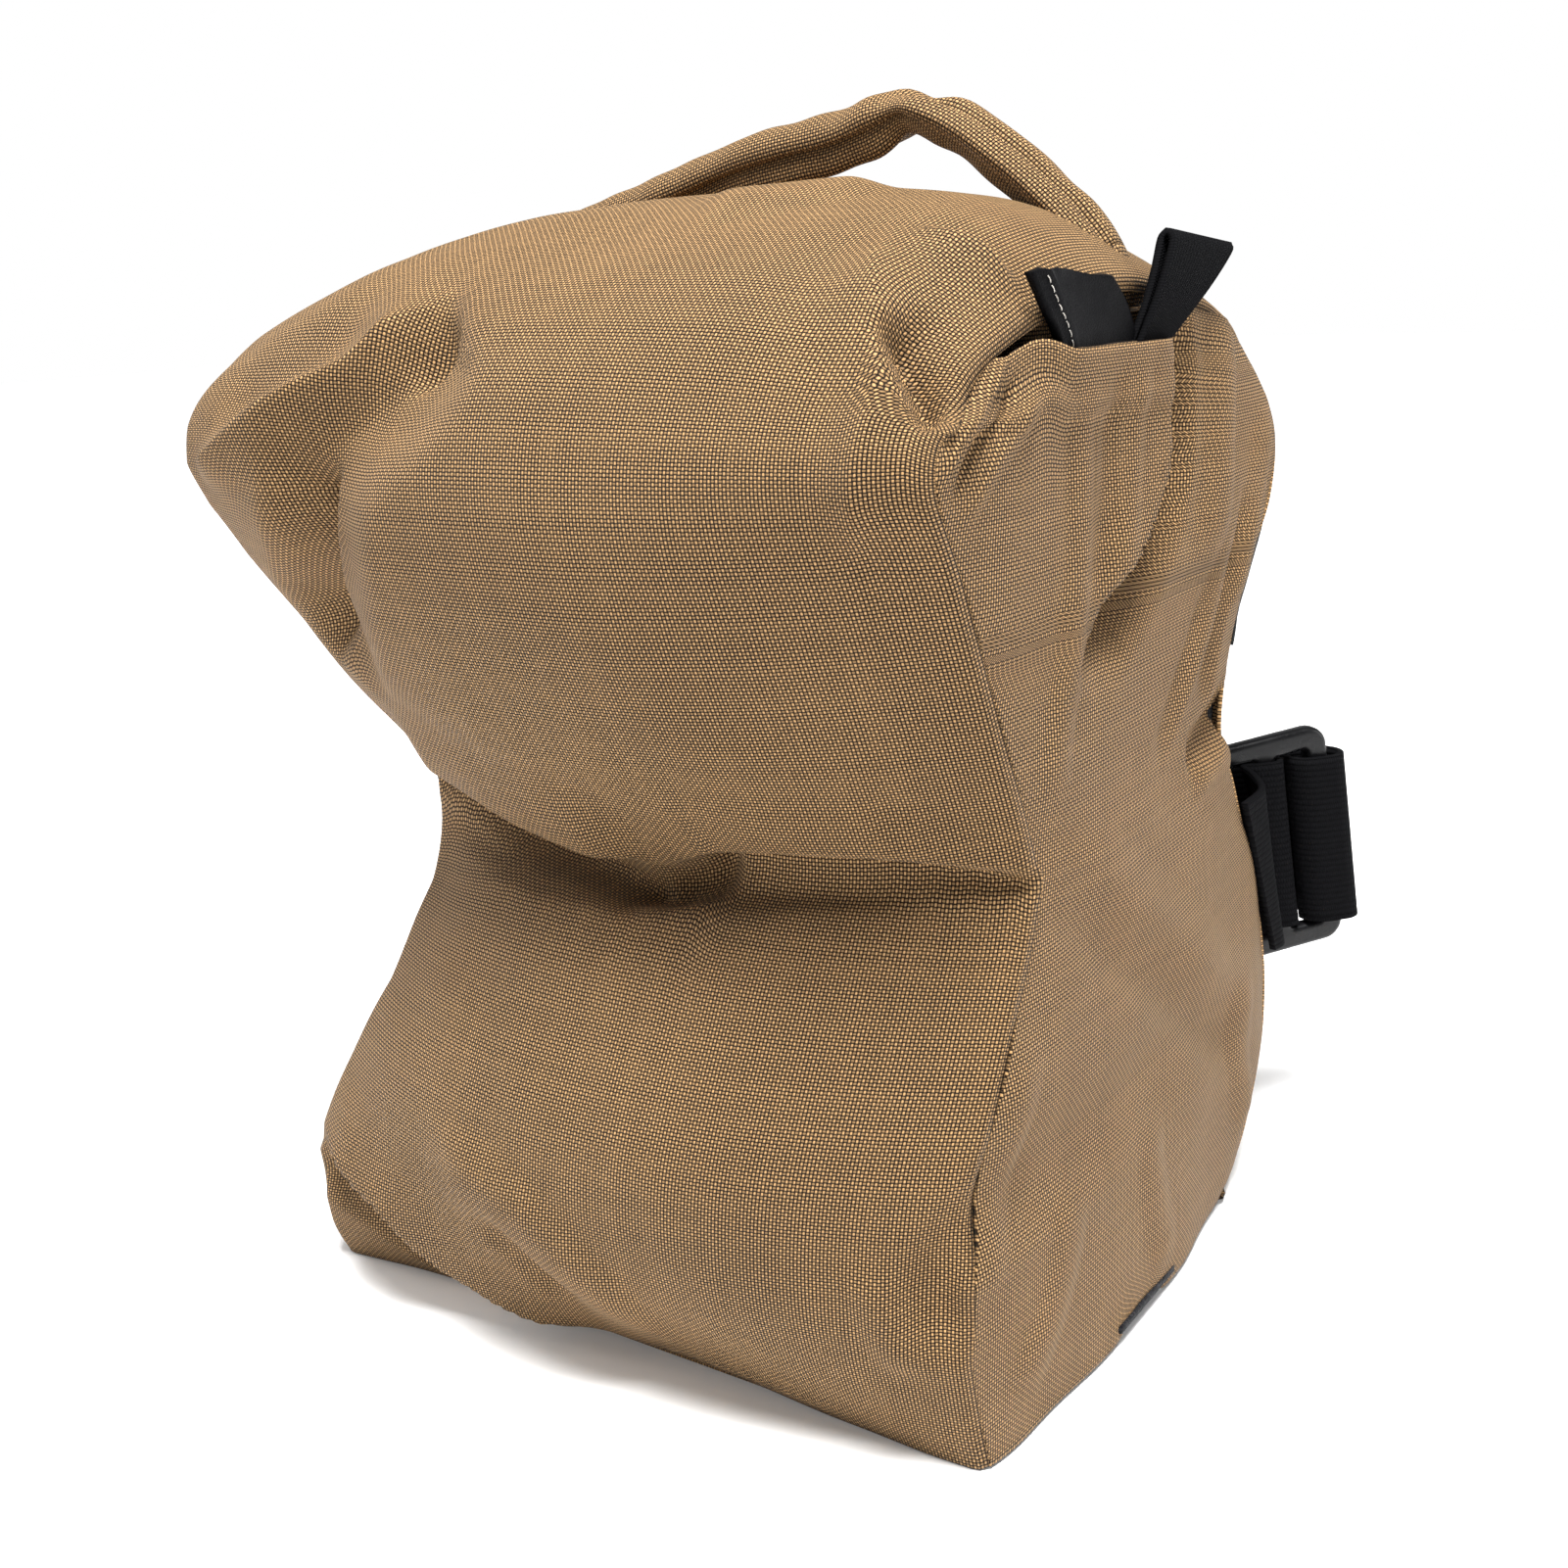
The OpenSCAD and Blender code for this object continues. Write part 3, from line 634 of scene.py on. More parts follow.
def end_panel(name, column, top, out, swell, folds, node, open_edge=False):
    """A panel across an end of the bag, from its front seam to its back seam. With an open edge
    it isn't sewn to the dome, and its base is notched for the tape that comes out there."""
    front = seam_line(column, 0.3, top)
    back = seam_line(column, 0.3, top, True)
    s = np.linspace(0, 1, 116) ** 1.12
    g = front[:, None] * (1 - s)[None, :, None] + back[:, None] * s[None, :, None]
    if open_edge:
        notch = 3.2 * np.exp(-((g[..., 1] + 2) / 8) ** 4)
        g[..., 2] += notch * smooth(1 - g[..., 2] / 14)
    lobes = 0.35 + 0.65 * np.abs(np.cos(np.pi * (g[:, 0, 2] - 12) / 178)) ** 1.3
    lobes = lobes * (1 - 0.75 * smooth((g[:, 0, 2] - 120) / 50))
    rounding = 1 - np.abs(2 * s - 1) ** 5
    g[..., 0] += out * (1.2 * rounding[None] + swell * lobes[:, None]
                        * np.sin(np.pi * s)[None] ** 0.9)
    if open_edge:
        seam = folded[:, column]
        seam = seam[seam[:, 2] > 160]
        room = np.interp(g[..., 1], seam[:, 1], seam[:, 2]) - CLOTH - top
        rise = smooth((g[..., 1] - 8) / 5) * np.maximum(room, 0)
        rise += smooth((-30 - g[..., 1]) / 10) * np.clip(room, 0, 4)
        g[..., 2] += rise * smooth(np.linspace(-5, 1, len(g)))[:, None]
    d = np.zeros_like(g)
    n = grid_normals(g) * out
    for fold in folds:
        d += stroke(g, n, "end", *fold)
    g = g + d + n * (waves(g, 40, 11) * 0.4 + waves(g, 17, 12) * 0.15)[..., None]
    run = run_across(g)
    centre = np.array([np.interp(-15, row[:, 1], line) for row, line in zip(g, run)])
    v = run_along(g[:, 40])
    uv = np.stack([run - centre[:, None], v[:, None] * np.ones((1, len(s)))], 2)
    piece = thick(name, g[:, ::out], CLOTH, uv[:, ::out], KHAKI)
    finish_piece(piece, "bag", "shell_fabric", node)
    return g


RIGHT_FOLDS = [
    # the open edge stands out where the tab and the loop come through it
    ([[12, 180], [4, 180], [-10, 180], [-24, 180], [-42, 180]], 3.2, 16, 8),
    # the pleat beside the open edge: a fold that laps over a long valley
    ([[6.5, 194], [6.5, 176], [7.5, 166], [6, 157], [2, 150], [-6, 143], [-16, 136], [-27, 127]],
     -13.0, 15, 1.3, "crest"),
    ([[14, 186], [16, 170], [15, 158], [9, 149], [-1, 142]], -2.4, 6, 7),
    ([[4.5, 184], [5, 168], [4, 157], [0, 150], [-8, 143], [-18, 136]], 2.2, 1.5, 12, "crest"),
    ([[31, 186], [33, 172], [31, 152], [24, 134]], 2.6, 10, 9),
    ([[56, 166], [58, 156], [52, 140], [42, 124]], 1.6, 7, 8),
    # the corner's double welt beside the front seam
    ([[-67, 161], [-61, 168], [-52, 173], [-45, 179]], 1.5, 1.7, 1.7),
    ([[-64.5, 158], [-58, 165], [-49, 170.5], [-42, 176]], -1.4, 1.6, 1.6),
    ([[-62, 155], [-55, 162], [-46, 168], [-39, 173]], 1.0, 1.8, 3),
    # ridges that run up from the waist
    ([[-24, 178], [-25, 150], [-28, 128], [-34, 104]], 1.3, 5, 6),
    ([[-14, 178], [-15, 156], [-20, 132]], -1.1, 4, 5),
    ([[-6, 178], [-7, 158], [-14, 138]], 0.9, 4, 4),
    ([[50, 150], [38, 128], [26, 108]], -1.8, 5, 6),
    ([[44, 152], [30, 130], [14, 108]], 1.2, 5, 5),
    ([[30, 134], [16, 116], [4, 104]], -1.2, 5, 5),
    # the crease that runs down from the front seam to the back
    ([[-38, 94], [-20, 82], [-3, 70], [31, 45], [72, 22]], -1.5, 12, 8),
    ([[-30, 100], [0, 80], [34, 57], [74, 34]], 1.4, 10, 12),
    ([[46, 110], [34, 104], [20, 102]], -3.4, 7, 7),
    ([[50, 96], [36, 98], [22, 97]], 1.6, 6, 6),
    ([[-48, 8], [-36, 22], [-28, 40]], 1.2, 7, 7),
    ([[10, 4], [4, 22], [2, 40]], 1.0, 7, 7),
    ([[-58, 30], [-50, 50], [-40, 72]], 1.1, 7, 6),
    ([[60, 10], [52, 30], [50, 52]], 1.3, 8, 8),
]
LEFT_FOLDS = [
    ([[-60, 160], [-44, 130], [-24, 108], [10, 98]], -3.0, 10, 10),
    ([[55, 150], [40, 126], [20, 108]], -2.5, 9, 9),
    ([[-50, 40], [-20, 62], [20, 80]], 2.0, 12, 12),
    ([[0, 170], [4, 140], [2, 112]], 2.0, 12, 12),
]
right_grid = end_panel("end_panel_right_fabric", -1, HEM_Z, 1, 3.0, RIGHT_FOLDS,
                       "end_panel_right", open_edge=True)
end_panel("end_panel_left_fabric", 0, 189, -1, 2.0, LEFT_FOLDS, "end_panel_left")


# ---- inner bag, sand and seam bindings
def smooth_block(name, inset, inset_x, low, material):
    """The bag's smooth form shrunk all round, as a closed solid of rings along the bag."""
    g, _ = base_wrap(14, 90)
    g = g - grid_normals(g) * inset
    left, right = g[:, :1, 0] + inset_x, g[:, -1:, 0] - inset_x
    u = np.linspace(0, 1, g.shape[1])[None]
    g[..., 0] = left * (1 - u) + right * u
    g[..., 2] = np.maximum(g[..., 2], low)
    rings = g.transpose(1, 0, 2)
    return tube(name, rings.mean(1), rings[:, ::-1], material)


def binding(name, columns, node):
    """Tape folded round the seam allowances, just inside the wrap's edge."""
    g = folded[:, columns] - grid_normals(folded)[:, columns] * 2.4
    uv = uv_wrap[:, columns][..., ::-1]
    finish_piece(thick(name, g, 0.7, uv, BINDING), "bag", "binding_tape", node)


finish_piece(smooth_block("sand", 13, 15, 10, SAND), "bag", "sand", "sand_fill")
finish_piece(smooth_block("liner", 12, 14, 9, FILM), "bag", "liner_film", "liner_bag")
binding("seam_binding_right_tape", slice(-8, -1), "seam_binding_right")
binding("seam_binding_left_tape", slice(1, 8), "seam_binding_left")


# ---- throat: hem along the open edge and the inner panel
def throat():
    part = right_grid[-9:, np.abs(right_grid[-1, :, 1] + 22) < 16][::-1]
    hem = part - grid_normals(part[::-1])[::-1] * 1.75
    depth = (part[0, 0, 2] - part[:, 0, 2])[:, None]
    uv = np.stack([part[..., 1], depth * np.ones(part.shape[:2])], 2)
    piece = thick("throat_hem_fold", hem[::-1], CLOTH, uv[::-1], KHAKI)
    finish_piece(piece, "bag", "shell_fabric", "throat_hem")
    z = np.concatenate([np.linspace(118, 168, 26), np.linspace(170, 184.5, 14)])
    column = folded[:, -5]
    crest = int(np.argmax(column[:, 2]))
    front, back = column[:crest], column[crest:][::-1]
    near = np.interp(z, np.maximum.accumulate(front[:, 2]), front[:, 1]) + 3.0
    far = np.interp(z, np.maximum.accumulate(back[:, 2]), back[:, 1]) - 3.0
    s = np.linspace(0, 1, 50)[None]
    g = np.zeros((len(z), 50, 3))
    g[..., 1] = near[:, None] * (1 - s) + far[:, None] * s
    g[..., 2] = z[:, None] - 1.0
    g[..., 0] = 60.6 + waves(g, 30, 21) * 0.4 + 1.0 * smooth((z[:, None] - 172) / 12)
    uv = np.stack([g[..., 1], g[..., 2]], 2)
    piece = thick("throat_inner_panel", g, CLOTH, uv, KHAKI)
    finish_piece(piece, "bag", "shell_fabric", "throat_panel")


throat()


# ---- handle
HANDLE_Y = 6
HANDLE_LINE = [[70.5, 182.5], [68.5, 186.5], [64.5, 191.5], [58.5, 198], [51, 204.6],
               [43.5, 210.2], [36.5, 214.4], [30, 216.6], [24, 215.8], [15, 213.4], [4, 211.8],
               [-8, 209.6], [-20, 206.2], [-33, 202.6], [-46, 199.4], [-58, 196.0],
               [-67, 192.6], [-73, 189.6], [-78.5, 186]]
KINK_X = 30                 # where the handle is bent, near its top


def handle_frames(count):
    """Places along the handle's middle line, with the direction that is up at each."""
    p = even(HANDLE_LINE, count)
    t = np.gradient(p, axis=0)
    t /= np.linalg.norm(t, axis=1, keepdims=True)
    centres = np.stack([p[:, 0], np.full(count, float(HANDLE_Y)), p[:, 1]], 1)
    up = np.stack([t[:, 1], np.zeros(count), -t[:, 0]], 1)
    return centres, up * np.sign(up[count // 2, 2])


def handle_section(centre, up, s, shrink=0.0):
    """One cross-section of the tube: s is the share of the way along it."""
    flat_end = smooth(1 - min(s, 1 - s) / 0.09)
    past = centre[0] - KINK_X
    kink = math.exp(-(past / 4.5) ** 2)
    right_arm = smooth((past + 4) / 10)
    a = np.linspace(0, 2 * math.pi, 72, endpoint=False)
    wide = 5.8 + 1.2 * kink + 0.5 * right_arm - 0.4 * flat_end - shrink
    tall = 4.3 - 1.3 * kink - 0.5 * right_arm - 2.6 * flat_end - shrink
    y, z = wide * np.cos(a), tall * np.sin(a)

    def at(angle, width):
        turn = (a - math.radians(angle) + math.pi) % (2 * math.pi) - math.pi
        return np.exp(-(turn / width) ** 2)
    if shrink == 0:
        lip = (1 - flat_end) * (1 - 0.75 * right_arm)
        grow = 2.8 * lip * at(246, 0.28) - 2.0 * lip * at(212, 0.11)
        grow = grow - 1.5 * right_arm * (1 - flat_end) * at(118, 0.24)
        grow = grow + 0.8 * right_arm * at(180, 0.3)
        y, z = y + grow * np.cos(a), z + grow * np.sin(a)
    return centre + y[:, None] * np.array([0, 1.0, 0]) + z[:, None] * up


def handle():
    count = 150
    centres, up = handle_frames(count)
    centres[:, 1] += waves(centres, 26, 31) * 0.5
    s = np.linspace(0, 1, count)
    g = np.stack([handle_section(c, n, t) for c, n, t in zip(centres, up, s)])
    out = g - centres[:, None]
    out /= np.linalg.norm(out, axis=2, keepdims=True)
    near_kink = np.exp(-((centres[:, 0] - KINK_X) / 9) ** 2)[:, None]
    g = g + out * (waves(g, 13, 32) * (0.22 + 0.75 * near_kink))[..., None]
    cut = 9                 # sections in each sewn end
    foot, bend = (0, HANDLE_Y * MM, 0.186), (0, HANDLE_Y * MM, 0.206)
    sleeve = tube("handle_sleeve_fabric", centres[cut:-cut], g[cut:-cut], KHAKI)
    finish_blend(sleeve, ("bag", "handle"), foot, bend, "shell_fabric", "handle_sleeve")
    for name, part in (("handle_root_right", slice(0, cut + 1)),
                       ("handle_root_left", slice(count - cut - 1, count))):
        root = tube(name + "_fabric", centres[part], g[part], KHAKI)
        finish_piece(root, "bag", "shell_fabric", name)
    inner = [handle_section(c, n, t, 2.3) for c, n, t in zip(centres, up, s)]
    core = tube("handle_core_roll", centres[cut:-cut], inner[cut:-cut], CORE)
    finish_blend(core, ("bag", "handle"), foot, bend, "core_webbing", "handle_core")
    return centres, up


handle_centres, handle_up = handle()


def bartacks():
    """Close zigzag rows of thread across the handle's sewn ends."""
    points, normals = [], []
    for i in (4, len(handle_centres) - 5):
        c, n = handle_centres[i], handle_up[i]
        for k in range(15):
            y = -4.6 + 9.2 * k / 14
            along = (1 if k % 2 else -1) * 0.7
            side = np.cross(n, [0, 1.0, 0])
            points.append(c + np.array([0, y, 0]) + side * along + n * 2.0)
            normals.append(n)
    for name, part, *node in (("bartack_right", slice(15), "handle_bartacks"),
                              ("bartack_left", slice(15, None))):
        thread = stitches(name, np.array(points[part]), np.array(normals[part]), 1.5, 0.1, 0.28,
                          THREAD)
        finish_piece(thread, "bag", "khaki_thread", *node)


bartacks()


# ---- tab and pull loop in the open edge
TAB_X = 75.0
HEM = (0, 0, 0.1770)        # a height at the open edge where the tab and the loop come out, in metres


def tab():
    rows, cols = 26, 44
    r = np.linspace(0, 1, rows)[:, None]
    c = np.linspace(0, 1, cols)[None]
    left = curve([[-30.5, 175], [-32.5, 180], [-36.5, 184.5], [-39.8, 189.0]], r[:, 0])
    right = curve([[-2.5, 175], [-5, 180], [-8.5, 184.5], [-13.5, 188.6]], r[:, 0])
    g = np.zeros((rows, cols, 3))
    g[..., 1:] = left[:, None] * (1 - c)[..., None] + right[:, None] * c[..., None]
    g[..., 2] += 0.7 * np.sin(c * math.pi * 1.3 + 0.4) * r ** 2
    g[..., 0] = TAB_X + 0.8 * np.sin(c * 5.0 + 1.2) * r - 1.6 * r ** 2 * (1 - c)
    g[..., 0] += 0.9 * np.exp(-((c - 0.14) / 0.06) ** 2) * (0.4 + 0.6 * r)
    uv = np.stack([g[..., 1], g[..., 2]], 2)
    piece = thick("label_tab_leather", g, 1.5, uv, LEATHER)
    bend = (0, 0, 0.1815)
    finish_blend(piece, ("bag", "label"), HEM, bend, "leatherette", "label_tab")
    line = g[2:-1, 4] + np.array([0.2, 0, 0])
    normals = np.tile([1.0, -0.3, 0], (len(line), 1))
    thread = stitches("label_tab_stitches", line, normals, 1.2, 0.5, 0.08, THREAD_PALE)
    finish_blend(thread, ("bag", "label"), HEM, bend, "khaki_thread")


tab()


def loop():
    """Doubled webbing: up the outer ply, over the fold and down the inner ply."""
    rise, t, cols = 23.0, 1.0, 20
    half = 0.75
    up = [[half, 0], [half + 0.1, rise * 0.35], [half + 0.5, rise * 0.7],
          [half + 0.5, rise - 1.5]]
    over = [[half * 0.85, rise - 0.3], [0, rise + 0.4], [-half * 0.85, rise - 0.3]]
    down = [[-half - 0.2, rise - 1.5], [-half, rise * 0.7], [-half + 0.1, rise * 0.35],
            [-half, 0]]
    path = even(up + over + down, 90)
    d = np.gradient(path, axis=0)
    d /= np.linalg.norm(d, axis=1, keepdims=True)
    side = np.stack([d[:, 1], -d[:, 0]], 1)

    def sheet_grid(shift):
        p = path + side * shift
        share = np.clip(p[:, 1] / rise, -0.05, 1.1)[:, None]
        w = np.linspace(-1, 1, cols)[None]
        mid = -4.6 + 23.6 * share
        y = mid + w * (3.8 + 9.7 * share)
        z = 173.5 + 19.6 * share - 1.2 * w * share
        x = 74.6 + 1.1 * share + p[:, :1] + 0.7 * np.sin(share * 3) + 0 * w
        return np.stack([x, y, z], 2)
    outer, inner = sheet_grid(t / 2), sheet_grid(-t / 2)
    run = run_along(path)
    uv = np.stack([np.tile(np.linspace(-12, 12, cols), (len(path), 1)),
                   run[:, None] * np.ones((1, cols))], 2)
    piece = slab("pull_loop_webbing", outer, inner, uv, LOOP_WEB)
    finish_blend(piece, ("bag", "loop"), HEM, (0, 0, 0.1830), "black_webbing", "pull_loop")


loop()


# ---- strap behind the waist
STRAP_W, STRAP_T, STRAP_Z = 38, 1.3, 66     # webbing: width, thickness, height of its middle
SLIDER_AT = np.array([57.8, 78.0])          # plan of the slider's corner
TURN, LEAN = math.radians(48), math.radians(8)
SLIDER_L, SLIDER_H, SLIDER_T, SLOT_W = 30, 50, 4, 7.5
BAR_W = (SLIDER_L - 2 * SLOT_W) / 3
SLOT_X = SLIDER_L - BAR_W - SLOT_W / 2


def beside(along, out, rise):
    """A place in plan: along the webbing, out from its face, and above its middle."""
    along = along - rise * math.tan(LEAN)
    return (SLIDER_AT + along * np.array([math.cos(TURN), math.sin(TURN)])
            + out * np.array([math.sin(TURN), -math.cos(TURN)])).tolist()


def below(along, out):
    return beside(along, out, -STRAP_W / 2)


def above(along, out):
    return beside(along, out, STRAP_W / 2)


def ribbon(name, low_line, high_line, count):
    """Webbing on edge between a line in plan at its lower edge and one at its upper edge."""
    low, high = even(low_line, count), even(high_line, count)

    def offsets(p):
        d = np.gradient(p, axis=0)
        d /= np.linalg.norm(d, axis=1, keepdims=True)
        return np.stack([-d[:, 1], d[:, 0]], 1)
    w = np.linspace(0, 1, 22)[None, :, None]

    def grid(sign):
        a = low + sign * offsets(low) * STRAP_T / 2
        b = high + sign * offsets(high) * STRAP_T / 2
        xy = a[:, None] * (1 - w) + b[:, None] * w
        z = np.ones((count, 1)) * (STRAP_Z + STRAP_W * (w[..., 0] - 0.5))
        return np.concatenate([xy, z[..., None]], 2)
    uv = np.stack(np.meshgrid(STRAP_W * w[0, :, 0], run_along(low)), 2)
    return slab(name, grid(1), grid(-1), uv, WEB)


PLY = SLIDER_T / 2 + 0.5 + STRAP_T / 2
FAR = PLY + STRAP_T + 0.6 + STRAP_T / 2


def strap():
    tail = SLIDER_L - 9
    low = [below(tail, -FAR), below(9, -FAR - 0.6), [49, 85.6], [34, 85], [14, 84], [-10, 83],
           [-35, 81.6], [-50, 79.6], [-60, 76.6], [-66, 72.4]]
    high = [above(tail, -FAR), above(9, -FAR - 0.6), [47, 85.6], [32, 85], [14, 84], [-8, 81],
            [-26, 75], [-39, 67.5], [-48, 61], [-54.6, 54.6]]
    piece = ribbon("hand_strap_webbing", low, high, 150)
    finish_blend(piece, ("strap_end", "bag"), (0.062, 0.092, 0.066), (0.030, 0.085, 0.066),
                 "black_webbing", "hand_strap")
    end = 2 * BAR_W + SLOT_W
    low = [[74.4, 74.0], [74.8, 78.5], [72.4, 82.4], below(9, PLY), below(end - 5, PLY),
           below(end - 0.8, PLY), below(end + 1.0, 1.7), below(end + 1.2, -1.2)]
    high = [[74.4, 53.5], [73.6, 66], [68.5, 75.5], above(9, PLY), above(end - 5, PLY),
            above(end - 0.8, PLY), above(end + 1.0, 1.7), above(end + 1.2, -1.2)]
    piece = ribbon("strap_root_webbing", low, high, 60)
    finish_blend(piece, ("bag", "strap_end"), (0.0745, 0.062, 0.066), (0.068, 0.083, 0.066),
                 "black_webbing", "strap_root")
    bight_r, turn = 4.3, SLIDER_L - 0.2
    middle, half = (PLY - FAR) / 2, (PLY + FAR) / 2
    arc = [[turn + bight_r * math.cos(a), middle + half * math.sin(a)]
           for a in np.radians(np.arange(90, -91, -22.5))]
    local = [[SLOT_X, -1], [SLOT_X + 0.6, 1.6], [SLOT_X + SLOT_W / 2 - 0.6, PLY]] + arc
    local.append([tail, -FAR])
    piece = ribbon("strap_bight_webbing", [below(*p) for p in local], [above(*p) for p in local],
                   60)
    finish_piece(piece, "strap_end", "black_webbing", "strap_bight")


strap()


def rounded_outline(x0, x1, y0, y1, r, steps=8):
    points = []
    for cx, cy, start in ((x1 - r, y1 - r, 0), (x0 + r, y1 - r, 90), (x0 + r, y0 + r, 180),
                          (x1 - r, y0 + r, 270)):
        for i in range(steps + 1):
            a = math.radians(start + 90 * i / steps)
            points.append((cx + r * math.cos(a), cy + r * math.sin(a)))
    return points


def slider():
    """A moulded three-bar slider with rounded edges: an outline with two slots, bevelled."""
    soft = 1.35
    data = bpy.data.curves.new("slider_outline", "CURVE")
    data.dimensions = "2D"
    data.fill_mode = "BOTH"
    data.extrude = (SLIDER_T / 2 - soft) * MM
    data.bevel_depth = soft * MM
    data.bevel_resolution = 4
    half = SLIDER_H / 2
    outlines = [rounded_outline(soft, SLIDER_L - soft, -half + soft, half - soft, 3.2)]
    for x in (BAR_W, 2 * BAR_W + SLOT_W):
        outlines.append(rounded_outline(x - soft, x + SLOT_W + soft, -STRAP_W / 2 - 1 - soft,
                                        STRAP_W / 2 + 1 + soft, 2.2))
    for line in outlines:
        s = data.splines.new("POLY")
        s.points.add(len(line) - 1)
        for p, (x, y) in zip(s.points, line):
            p.co = (x * MM, y * MM, 0, 1)
        s.use_cyclic_u = True
    shape = bpy.data.objects.new("slider_shape", data)
    bpy.context.scene.collection.objects.link(shape)
    bpy.context.view_layer.update()
    mesh = bpy.data.meshes.new_from_object(
        shape.evaluated_get(bpy.context.evaluated_depsgraph_get()))
    bpy.data.objects.remove(shape)
    along = Vector((math.cos(TURN), math.sin(TURN), 0))
    out = Vector((math.sin(TURN), -math.cos(TURN), 0))
    at = Vector((*beside(SLOT_X, 0, 0), STRAP_Z)) * MM
    mesh.transform(Matrix.Translation(at) @ Matrix((
        (along.x, 0, out.x, 0), (along.y, 0, out.y, 0), (0, 1, 0, 0), (0, 0, 0, 1)))
        @ Matrix.Rotation(LEAN, 4, "Z") @ Matrix.Translation((-SLOT_X * MM, 0, 0)))
    mesh.materials.clear()
    mesh.materials.append(PLASTIC)
    mesh.shade_smooth()
    piece = bpy.data.objects.new("slider_moulding", mesh)
    bpy.context.scene.collection.objects.link(piece)
    weld = piece.modifiers.new("weld", "WELD")
    weld.merge_threshold = 0.00002
    finish_piece(piece, "strap_end", "black_plastic", "slider")


slider()


# ---- patch on the back
def patch(name, rows, cols, low, t, node, body, slot_name, material):
    """A layer that lies on the wrap's back, low mm above it."""
    g = folded[rows, cols] + grid_normals(folded)[rows, cols] * (low + t)
    finish_piece(thick(name, g, t, uv_wrap[rows, cols], material), body, slot_name, node)
    return g


def patch_layers():
    z = folded[:, -20, 2]
    crest = int(np.argmax(z))
    rows = [i for i in range(crest, ROWS) if 116 < z[i] < 157]
    part = slice(rows[0], rows[-1] + 1)
    patch("back_loop_panel_pile", part, slice(-38, -3), 0.15, 1.1, "back_loop_panel", "bag",
          "loop_pile", PILE)
    part = slice(rows[0], rows[-1])
    g = patch("patch_cover_fabric", part, slice(-38, -2), 1.6, 1.2, "patch_cover", "patch",
              "patch_fabric", PATCH)
    edge, normals = (np.concatenate([q[2:-2, 2], q[-3, 2:-2], q[-3:1:-1, -3], q[2, -3:1:-1]])
                     for q in (g, grid_normals(g)))
    thread = stitches("patch_stitches", edge, normals, 2.0, 0.7, 0.22, PATCH)
    finish_piece(thread, "patch", "patch_fabric")


patch_layers()


# ---- base and fill mouth
def base_layer(name, material, x, y, z, t):
    """A layer of the base: flat below, its top a little uneven."""
    nx, ny = max(3, int((x[1] - x[0]) / 2)), max(3, int((y[1] - y[0]) / 2))
    gx, gy = np.meshgrid(np.linspace(*x, nx), np.linspace(*y, ny))
    low = np.stack([gx, gy, np.full_like(gx, z)], 2)
    high = low + np.array([0, 0, t])
    high[..., 2] += np.minimum(0, waves(high, 22, 0)) / 8
    return slab(name, high, low, np.stack([gx, gy], 2), material)


MOUTH = 14.0                # half the width of the fill mouth
INNER_Z = 3.95              # height of the layer that lies inside the mouth
BASE_X, FLAP_X, TAPE_X = (-71.8, 72.6), (-71.4, 72.2), (-71.8, 77.9)
TAPE_Y = (-12.5, 12.5)
# Name, material, extent along x and y, height and thickness, then body, slot and CAD node
BASE_LAYERS = (
    (("base_front_fabric", KHAKI, BASE_X, (-55.6, -MOUTH - 0.4), 0, 1),
     "bag", "shell_fabric", "base_front"),
    (("base_back_fabric", KHAKI, BASE_X, (MOUTH + 0.4, 49), 0, 1),
     "bag", "shell_fabric", "base_back"),
    (("base_back_inner", KHAKI, BASE_X, (-MOUTH, MOUTH + 1.2), INNER_Z, 1),
     "bag", "shell_fabric"),
    (("base_back_riser", KHAKI, BASE_X, (MOUTH + 0.4, MOUTH + 1.4), 1, INNER_Z),
     "bag", "shell_fabric"),
    (("mouth_flap_fabric", KHAKI, FLAP_X, (-MOUTH, MOUTH), 0, 1),
     "flap", "shell_fabric", "mouth_flap"),
    (("mouth_hook_tape", HOOK, FLAP_X, TAPE_Y, 1.02, 1.2),
     "flap", "hook_tape", "mouth_hook_strip"),
    (("mouth_loop_tape", PILE, TAPE_X, TAPE_Y, 2.62, 1.3),
     "bag", "loop_pile", "mouth_loop_strip"),
)
for layer, *use in BASE_LAYERS:
    finish_piece(base_layer(*layer), *use)


# The inner bag's tie keeps its CAD shape and gets its material
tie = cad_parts["liner_tie"].data.materials
tie.clear()
tie.append(TIE)


# ---- camera, floor and light
def camera():
    azimuth, elevation, roll = (math.radians(a) for a in (34.35, 15.78, -2.41))
    back = Vector((math.sin(azimuth) * math.cos(elevation),
                   -math.cos(azimuth) * math.cos(elevation), math.sin(elevation)))
    right = Vector((math.cos(azimuth), math.sin(azimuth), 0))
    up = back.cross(right)
    r = math.cos(roll) * right + math.sin(roll) * up
    u = -math.sin(roll) * right + math.cos(roll) * up
    at = Vector((0, 0, 0.090)) + back * 0.3574 + r * 0.0001 + u * 0.0036
    data = bpy.data.cameras.new("camera")
    data.sensor_width = 36
    data.lens = 41.6
    data.clip_start = 0.01
    cam = bpy.data.objects.new("camera", data)
    cam.matrix_world = Matrix((
        (r.x, u.x, back.x, at.x), (r.y, u.y, back.y, at.y), (r.z, u.z, back.z, at.z),
        (0, 0, 0, 1)))
    bpy.context.scene.collection.objects.link(cam)
    bpy.context.scene.camera = cam


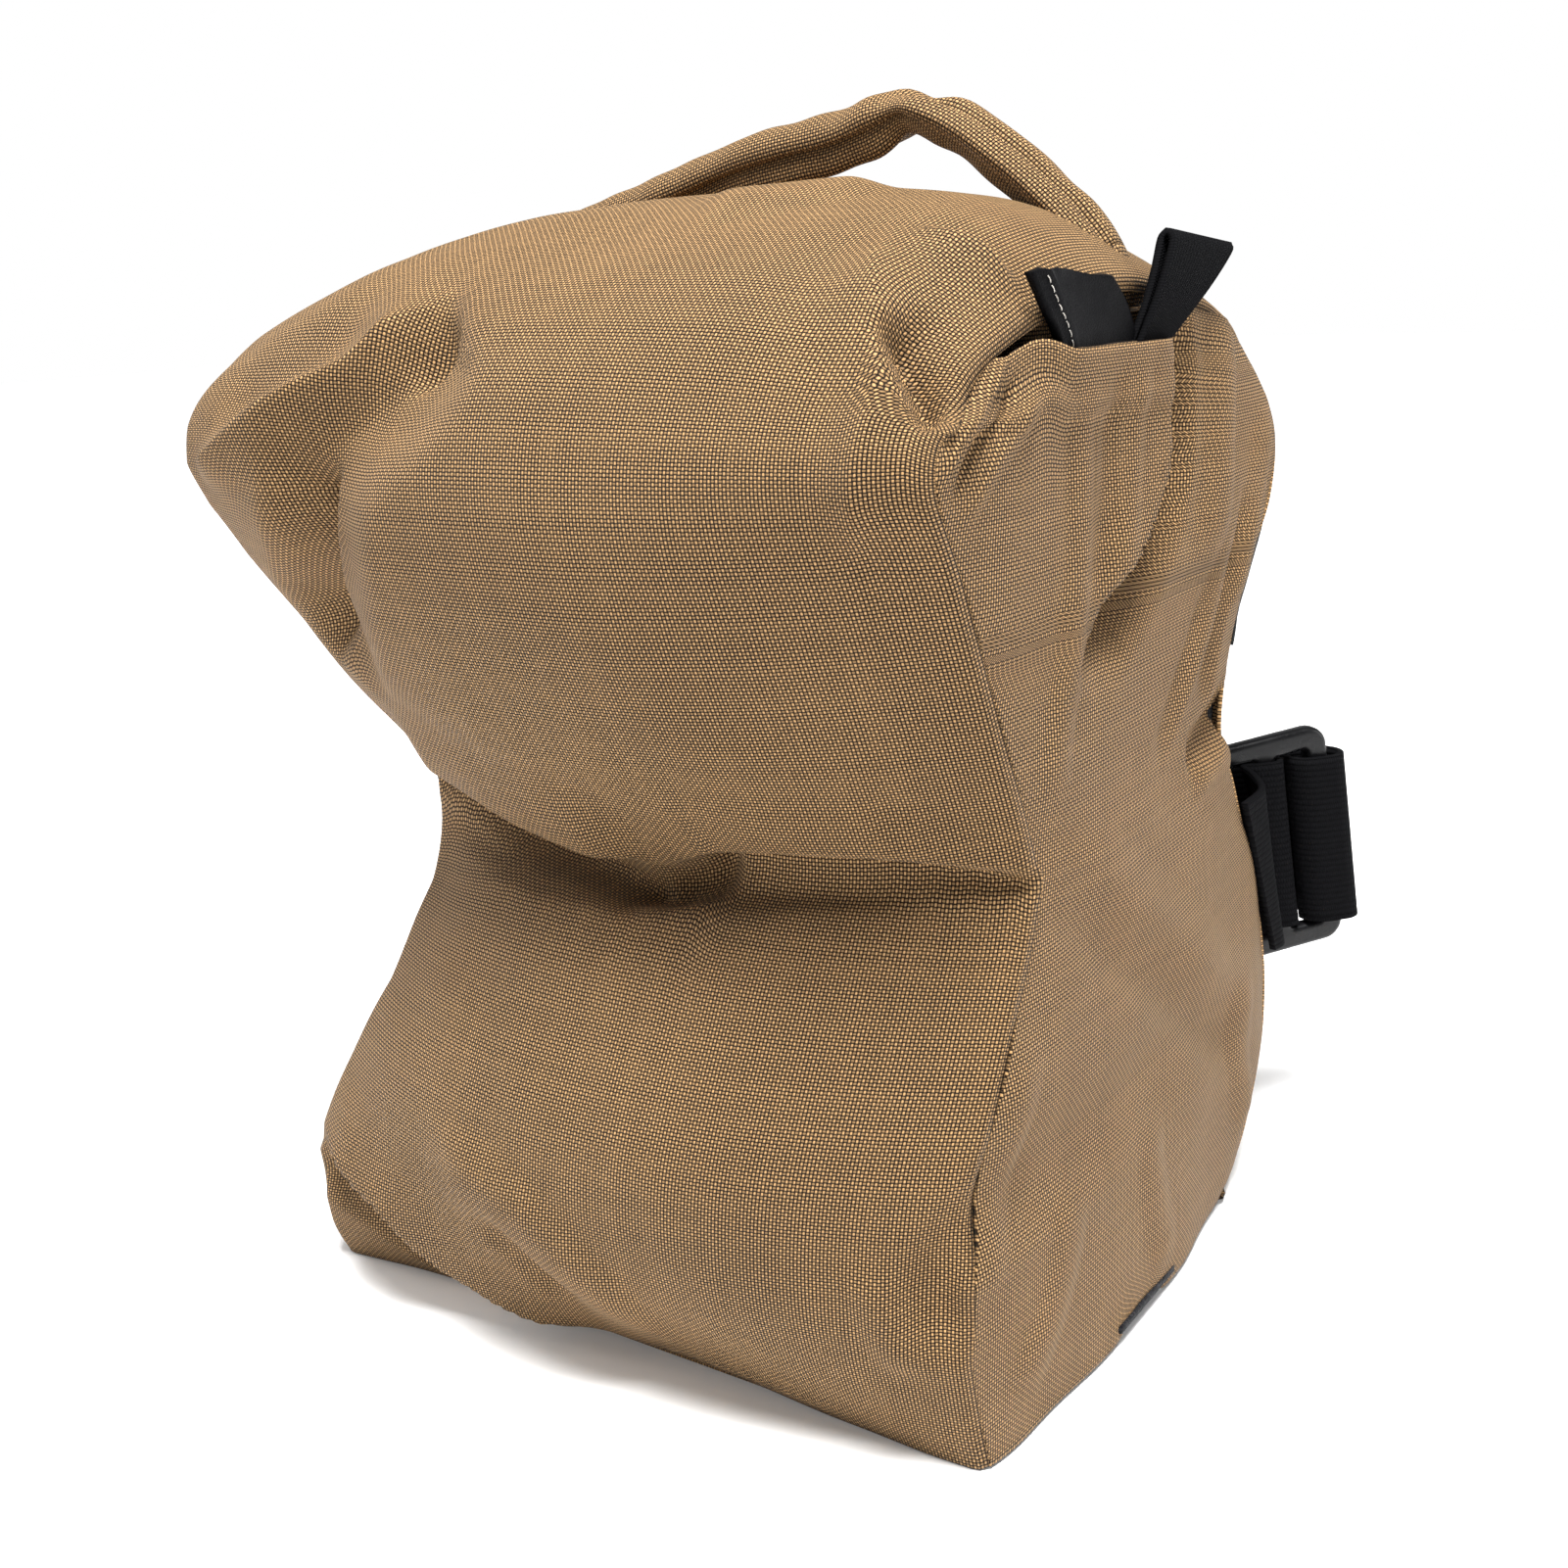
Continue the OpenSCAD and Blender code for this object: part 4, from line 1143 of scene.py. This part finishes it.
def area_light(name, place, size, power):
    """A soft rectangular light that faces the middle of the bag."""
    data = bpy.data.lights.new(name, "AREA")
    data.shape = "RECTANGLE"
    data.size, data.size_y = size
    data.energy = power
    lamp = bpy.data.objects.new(name, data)
    lamp.location = place
    lamp.rotation_euler = (Vector((0, 0, 0.1)) - Vector(place)).to_track_quat("-Z", "Y").to_euler()
    bpy.context.scene.collection.objects.link(lamp)


def stage():
    """A pale floor that glows, a painted light that is faint near the bag and strong far from it,
    a sky that is white near the horizon, and soft lights.
    """
    size = 4.0
    mesh = bpy.data.meshes.new("floor")
    mesh.from_pydata([(-size, -size, 0), (size, -size, 0), (size, size, 0), (-size, size, 0)],
                     [], [(0, 1, 2, 3)])
    floor = bpy.data.objects.new("floor", mesh)
    floor.location.z = -0.0002
    bpy.context.scene.collection.objects.link(floor)
    k = Nodes(bpy.data.materials.new("floor"))
    speckle = k.noise(k.place(), 30.0)
    # The floor glows: painted light, faint near the bag and strong far from it.
    k.bsdf.inputs["Emission Color"].default_value = (1, 1, 1, 1)
    apart = k.node("ShaderNodeVectorMath", operation="LENGTH")
    k.link(k.place(), apart.inputs[0])
    k.link(k.smooth(apart.outputs["Value"], 0.35, 1.6, to=(0.08, 0.80)),
           k.bsdf.inputs["Emission Strength"])
    mesh.materials.append(k.finish(k.mix(speckle, (0.93, 0.93, 0.93), (0.96, 0.96, 0.96)), 0.9,
                                   specular=0.1))
    sky = Nodes(bpy.data.worlds.new("world"))
    bpy.context.scene.world = sky.m
    back = sky.t.nodes["Background"]
    back.inputs[0].default_value = (1, 1, 1, 1)
    split = sky.node("ShaderNodeSeparateXYZ")
    sky.link(sky.node("ShaderNodeTexCoord").outputs["Generated"], split.inputs[0])
    sky.link(sky.smooth(split.outputs["Z"], 0.2, 0.42, to=(1.0, 0.12)), back.inputs[1])
    area_light("key", (0.24, -0.25, 1.28), (0.50, 0.50), 47)
    area_light("left", (-1.15, -0.30, 0.6), (0.5, 0.8), 7)
    area_light("right", (1.1, 0.55, 0.5), (0.5, 0.8), 4.5)


camera()
stage()
bpy.context.scene.view_settings.view_transform = "Standard"
